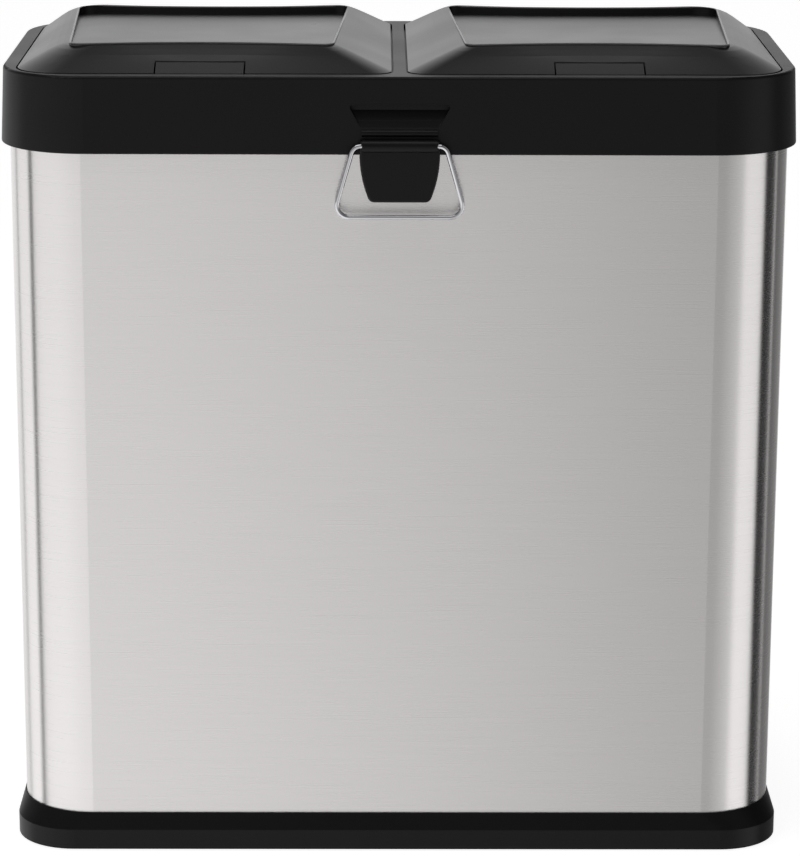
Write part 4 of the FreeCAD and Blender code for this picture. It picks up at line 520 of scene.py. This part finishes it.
def surround_light(tree):
    """The studio's brightness for each direction from the bin."""
    direction = add_node(tree, "ShaderNodeTexCoord").outputs["Generated"]
    turned = add_node(tree, "ShaderNodeMapping", values={"Rotation": (0, 0, math.pi / 2)},
                      links={"Vector": direction})
    round_bin = add_node(tree, "ShaderNodeTexGradient", settings={"gradient_type": "RADIAL"},
                         links={"Vector": turned.outputs["Vector"]})
    around = brightness_ramp(tree, round_bin.outputs["Fac"],
                             [(0.5 + degrees / 360, level) for degrees, level in AROUND])
    parts = add_node(tree, "ShaderNodeSeparateXYZ", links={"Vector": direction})
    height = add_node(tree, "ShaderNodeMapRange", values={"From Min": -1.0, "From Max": 1.0},
                      links={"Value": parts.outputs["Z"]})
    upward = brightness_ramp(tree, height.outputs["Result"],
                             [(0.5 + level / 2, share) for level, share in UPWARD])
    # Low at the back is a bright wall, which the lids' tops mirror.
    off_the_back = add_node(tree, "ShaderNodeMapRange", values={
        "From Min": 0.60, "From Max": 0.88, "To Min": 1.0, "To Max": 0.0},
        links={"Value": parts.outputs["Y"]})
    # The mix node's colours are its inputs 6 and 7 and its output 2.
    both = add_node(tree, "ShaderNodeMix", settings={"data_type": "RGBA", "blend_type": "MULTIPLY"},
                    links={"Factor": off_the_back.outputs["Result"], 6: around, 7: upward})
    return both.outputs[2]


class BIN_OT_stage(bpy.types.Operator):
    """Makes the camera, the pale floor, the surround and the soft overhead light"""
    bl_idname = "bin.stage"
    bl_label = "Stage"

    def execute(self, context):
        stage = context.scene.bin_stage
        self.make_camera(context, stage)
        self.make_floor(stage)
        self.make_surround(context, stage)
        self.make_overhead(stage)
        context.scene.view_settings.view_transform = "Standard"
        return {"FINISHED"}

    def make_camera(self, context, stage):
        bpy.ops.object.camera_add(location=(stage.side, -stage.distance, stage.height))
        camera = context.object
        camera.name = "photo_camera"
        aim = Matrix.Rotation(stage.yaw, 3, "Z") @ Matrix.Rotation(math.pi / 2 - stage.pitch, 3, "X")
        camera.rotation_euler = (aim @ Matrix.Rotation(stage.roll, 3, "Z")).to_euler()
        camera.data.sensor_width = 36
        camera.data.lens = stage.lens
        context.scene.camera = camera

    def make_floor(self, stage):
        bpy.ops.mesh.primitive_plane_add(size=60, location=(0, 0, 0))
        floor = bpy.context.object
        floor.name = "floor"
        material = bpy.data.materials.new("white_studio_floor")
        material.use_nodes = True
        tree = material.node_tree
        tree.nodes.clear()
        paper = add_node(tree, "ShaderNodeBsdfDiffuse", values={"Color": (0.8, 0.8, 0.8, 1)})
        # Seen directly the floor is almost evenly white and keeps a soft shadow.
        lit_paper = add_node(tree, "ShaderNodeBsdfDiffuse", values={"Color": (0.45, 0.45, 0.45, 1)})
        even = add_node(tree, "ShaderNodeEmission", values={"Strength": 0.88})
        seen = add_node(tree, "ShaderNodeAddShader", links={0: lit_paper.outputs[0], 1: even.outputs[0]})
        # Mirror images look through the floor to the surround, which goes on below it.
        mirrored = add_node(tree, "ShaderNodeBsdfTransparent")
        path = add_node(tree, "ShaderNodeLightPath")
        glossy = add_node(tree, "ShaderNodeMixShader", links={
            0: path.outputs["Is Glossy Ray"], 1: paper.outputs[0], 2: mirrored.outputs[0]})
        surface = add_node(tree, "ShaderNodeMixShader", links={
            0: path.outputs["Is Camera Ray"], 1: glossy.outputs[0], 2: seen.outputs[0]})
        add_node(tree, "ShaderNodeOutputMaterial", links={"Surface": surface.outputs[0]})
        floor.data.materials.append(material)

    def make_surround(self, context, stage):
        world = bpy.data.worlds.new("studio_surround")
        context.scene.world = world
        world.use_nodes = True
        tree = world.node_tree
        tree.nodes.clear()
        walls = add_node(tree, "ShaderNodeBackground", values={"Strength": stage.surround},
                         links={"Color": surround_light(tree)})
        # The camera sees plain white behind the bin.
        white = add_node(tree, "ShaderNodeBackground", values={"Color": (1, 1, 1, 1), "Strength": 1.0})
        path = add_node(tree, "ShaderNodeLightPath")
        seen = add_node(tree, "ShaderNodeMixShader", links={
            0: path.outputs["Is Camera Ray"], 1: walls.outputs[0], 2: white.outputs[0]})
        add_node(tree, "ShaderNodeOutputWorld", links={"Surface": seen.outputs[0]})

    def make_overhead(self, stage):
        bpy.ops.object.light_add(type="AREA", location=(-0.3, -0.45, 2.4))
        light = bpy.context.object
        light.name = "overhead_softbox"
        light.data.shape = "RECTANGLE"
        light.data.size = 1.8
        light.data.size_y = 0.9
        light.data.energy = stage.overhead
        light.rotation_euler = (math.radians(-12), math.radians(-8), 0)


class BIN_PT_panel(bpy.types.Panel):
    """Lists the bin's pieces, colours and stage"""
    bl_label = "Double recycling bin"
    bl_idname = "BIN_PT_panel"
    bl_space_type = "VIEW_3D"
    bl_region_type = "UI"
    bl_category = "Bin"

    def draw(self, context):
        scene = context.scene
        for settings in (scene.bin_colours, scene.bin_sizes, scene.bin_stage):
            column = self.layout.column(align=True)
            for name in settings.__annotations__:
                column.prop(settings, name)
        for operator in OPERATORS:
            self.layout.operator(operator.bl_idname)


OPERATORS = (
    BIN_OT_mouldings, BIN_OT_body, BIN_OT_buckets, BIN_OT_metal_fittings, BIN_OT_feet,
    BIN_OT_catch_springs, BIN_OT_panel_beads, BIN_OT_stage,
)
CLASSES = (BinColours, BinSizes, StageSettings, *OPERATORS, BIN_PT_panel)


def register():
    for item in CLASSES:
        bpy.utils.register_class(item)
    bpy.types.Scene.bin_colours = PointerProperty(type=BinColours)
    bpy.types.Scene.bin_sizes = PointerProperty(type=BinSizes)
    bpy.types.Scene.bin_stage = PointerProperty(type=StageSettings)


def unregister():
    del bpy.types.Scene.bin_stage
    del bpy.types.Scene.bin_sizes
    del bpy.types.Scene.bin_colours
    for item in reversed(CLASSES):
        bpy.utils.unregister_class(item)


def main():
    register()
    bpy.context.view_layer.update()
    bpy.ops.bin.mouldings()
    bpy.ops.bin.body()
    bpy.ops.bin.buckets()
    bpy.ops.bin.metal_fittings()
    bpy.ops.bin.feet()
    bpy.ops.bin.catch_springs()
    bpy.ops.bin.panel_beads()
    bpy.ops.bin.stage()


if __name__ == "__main__":
    main()
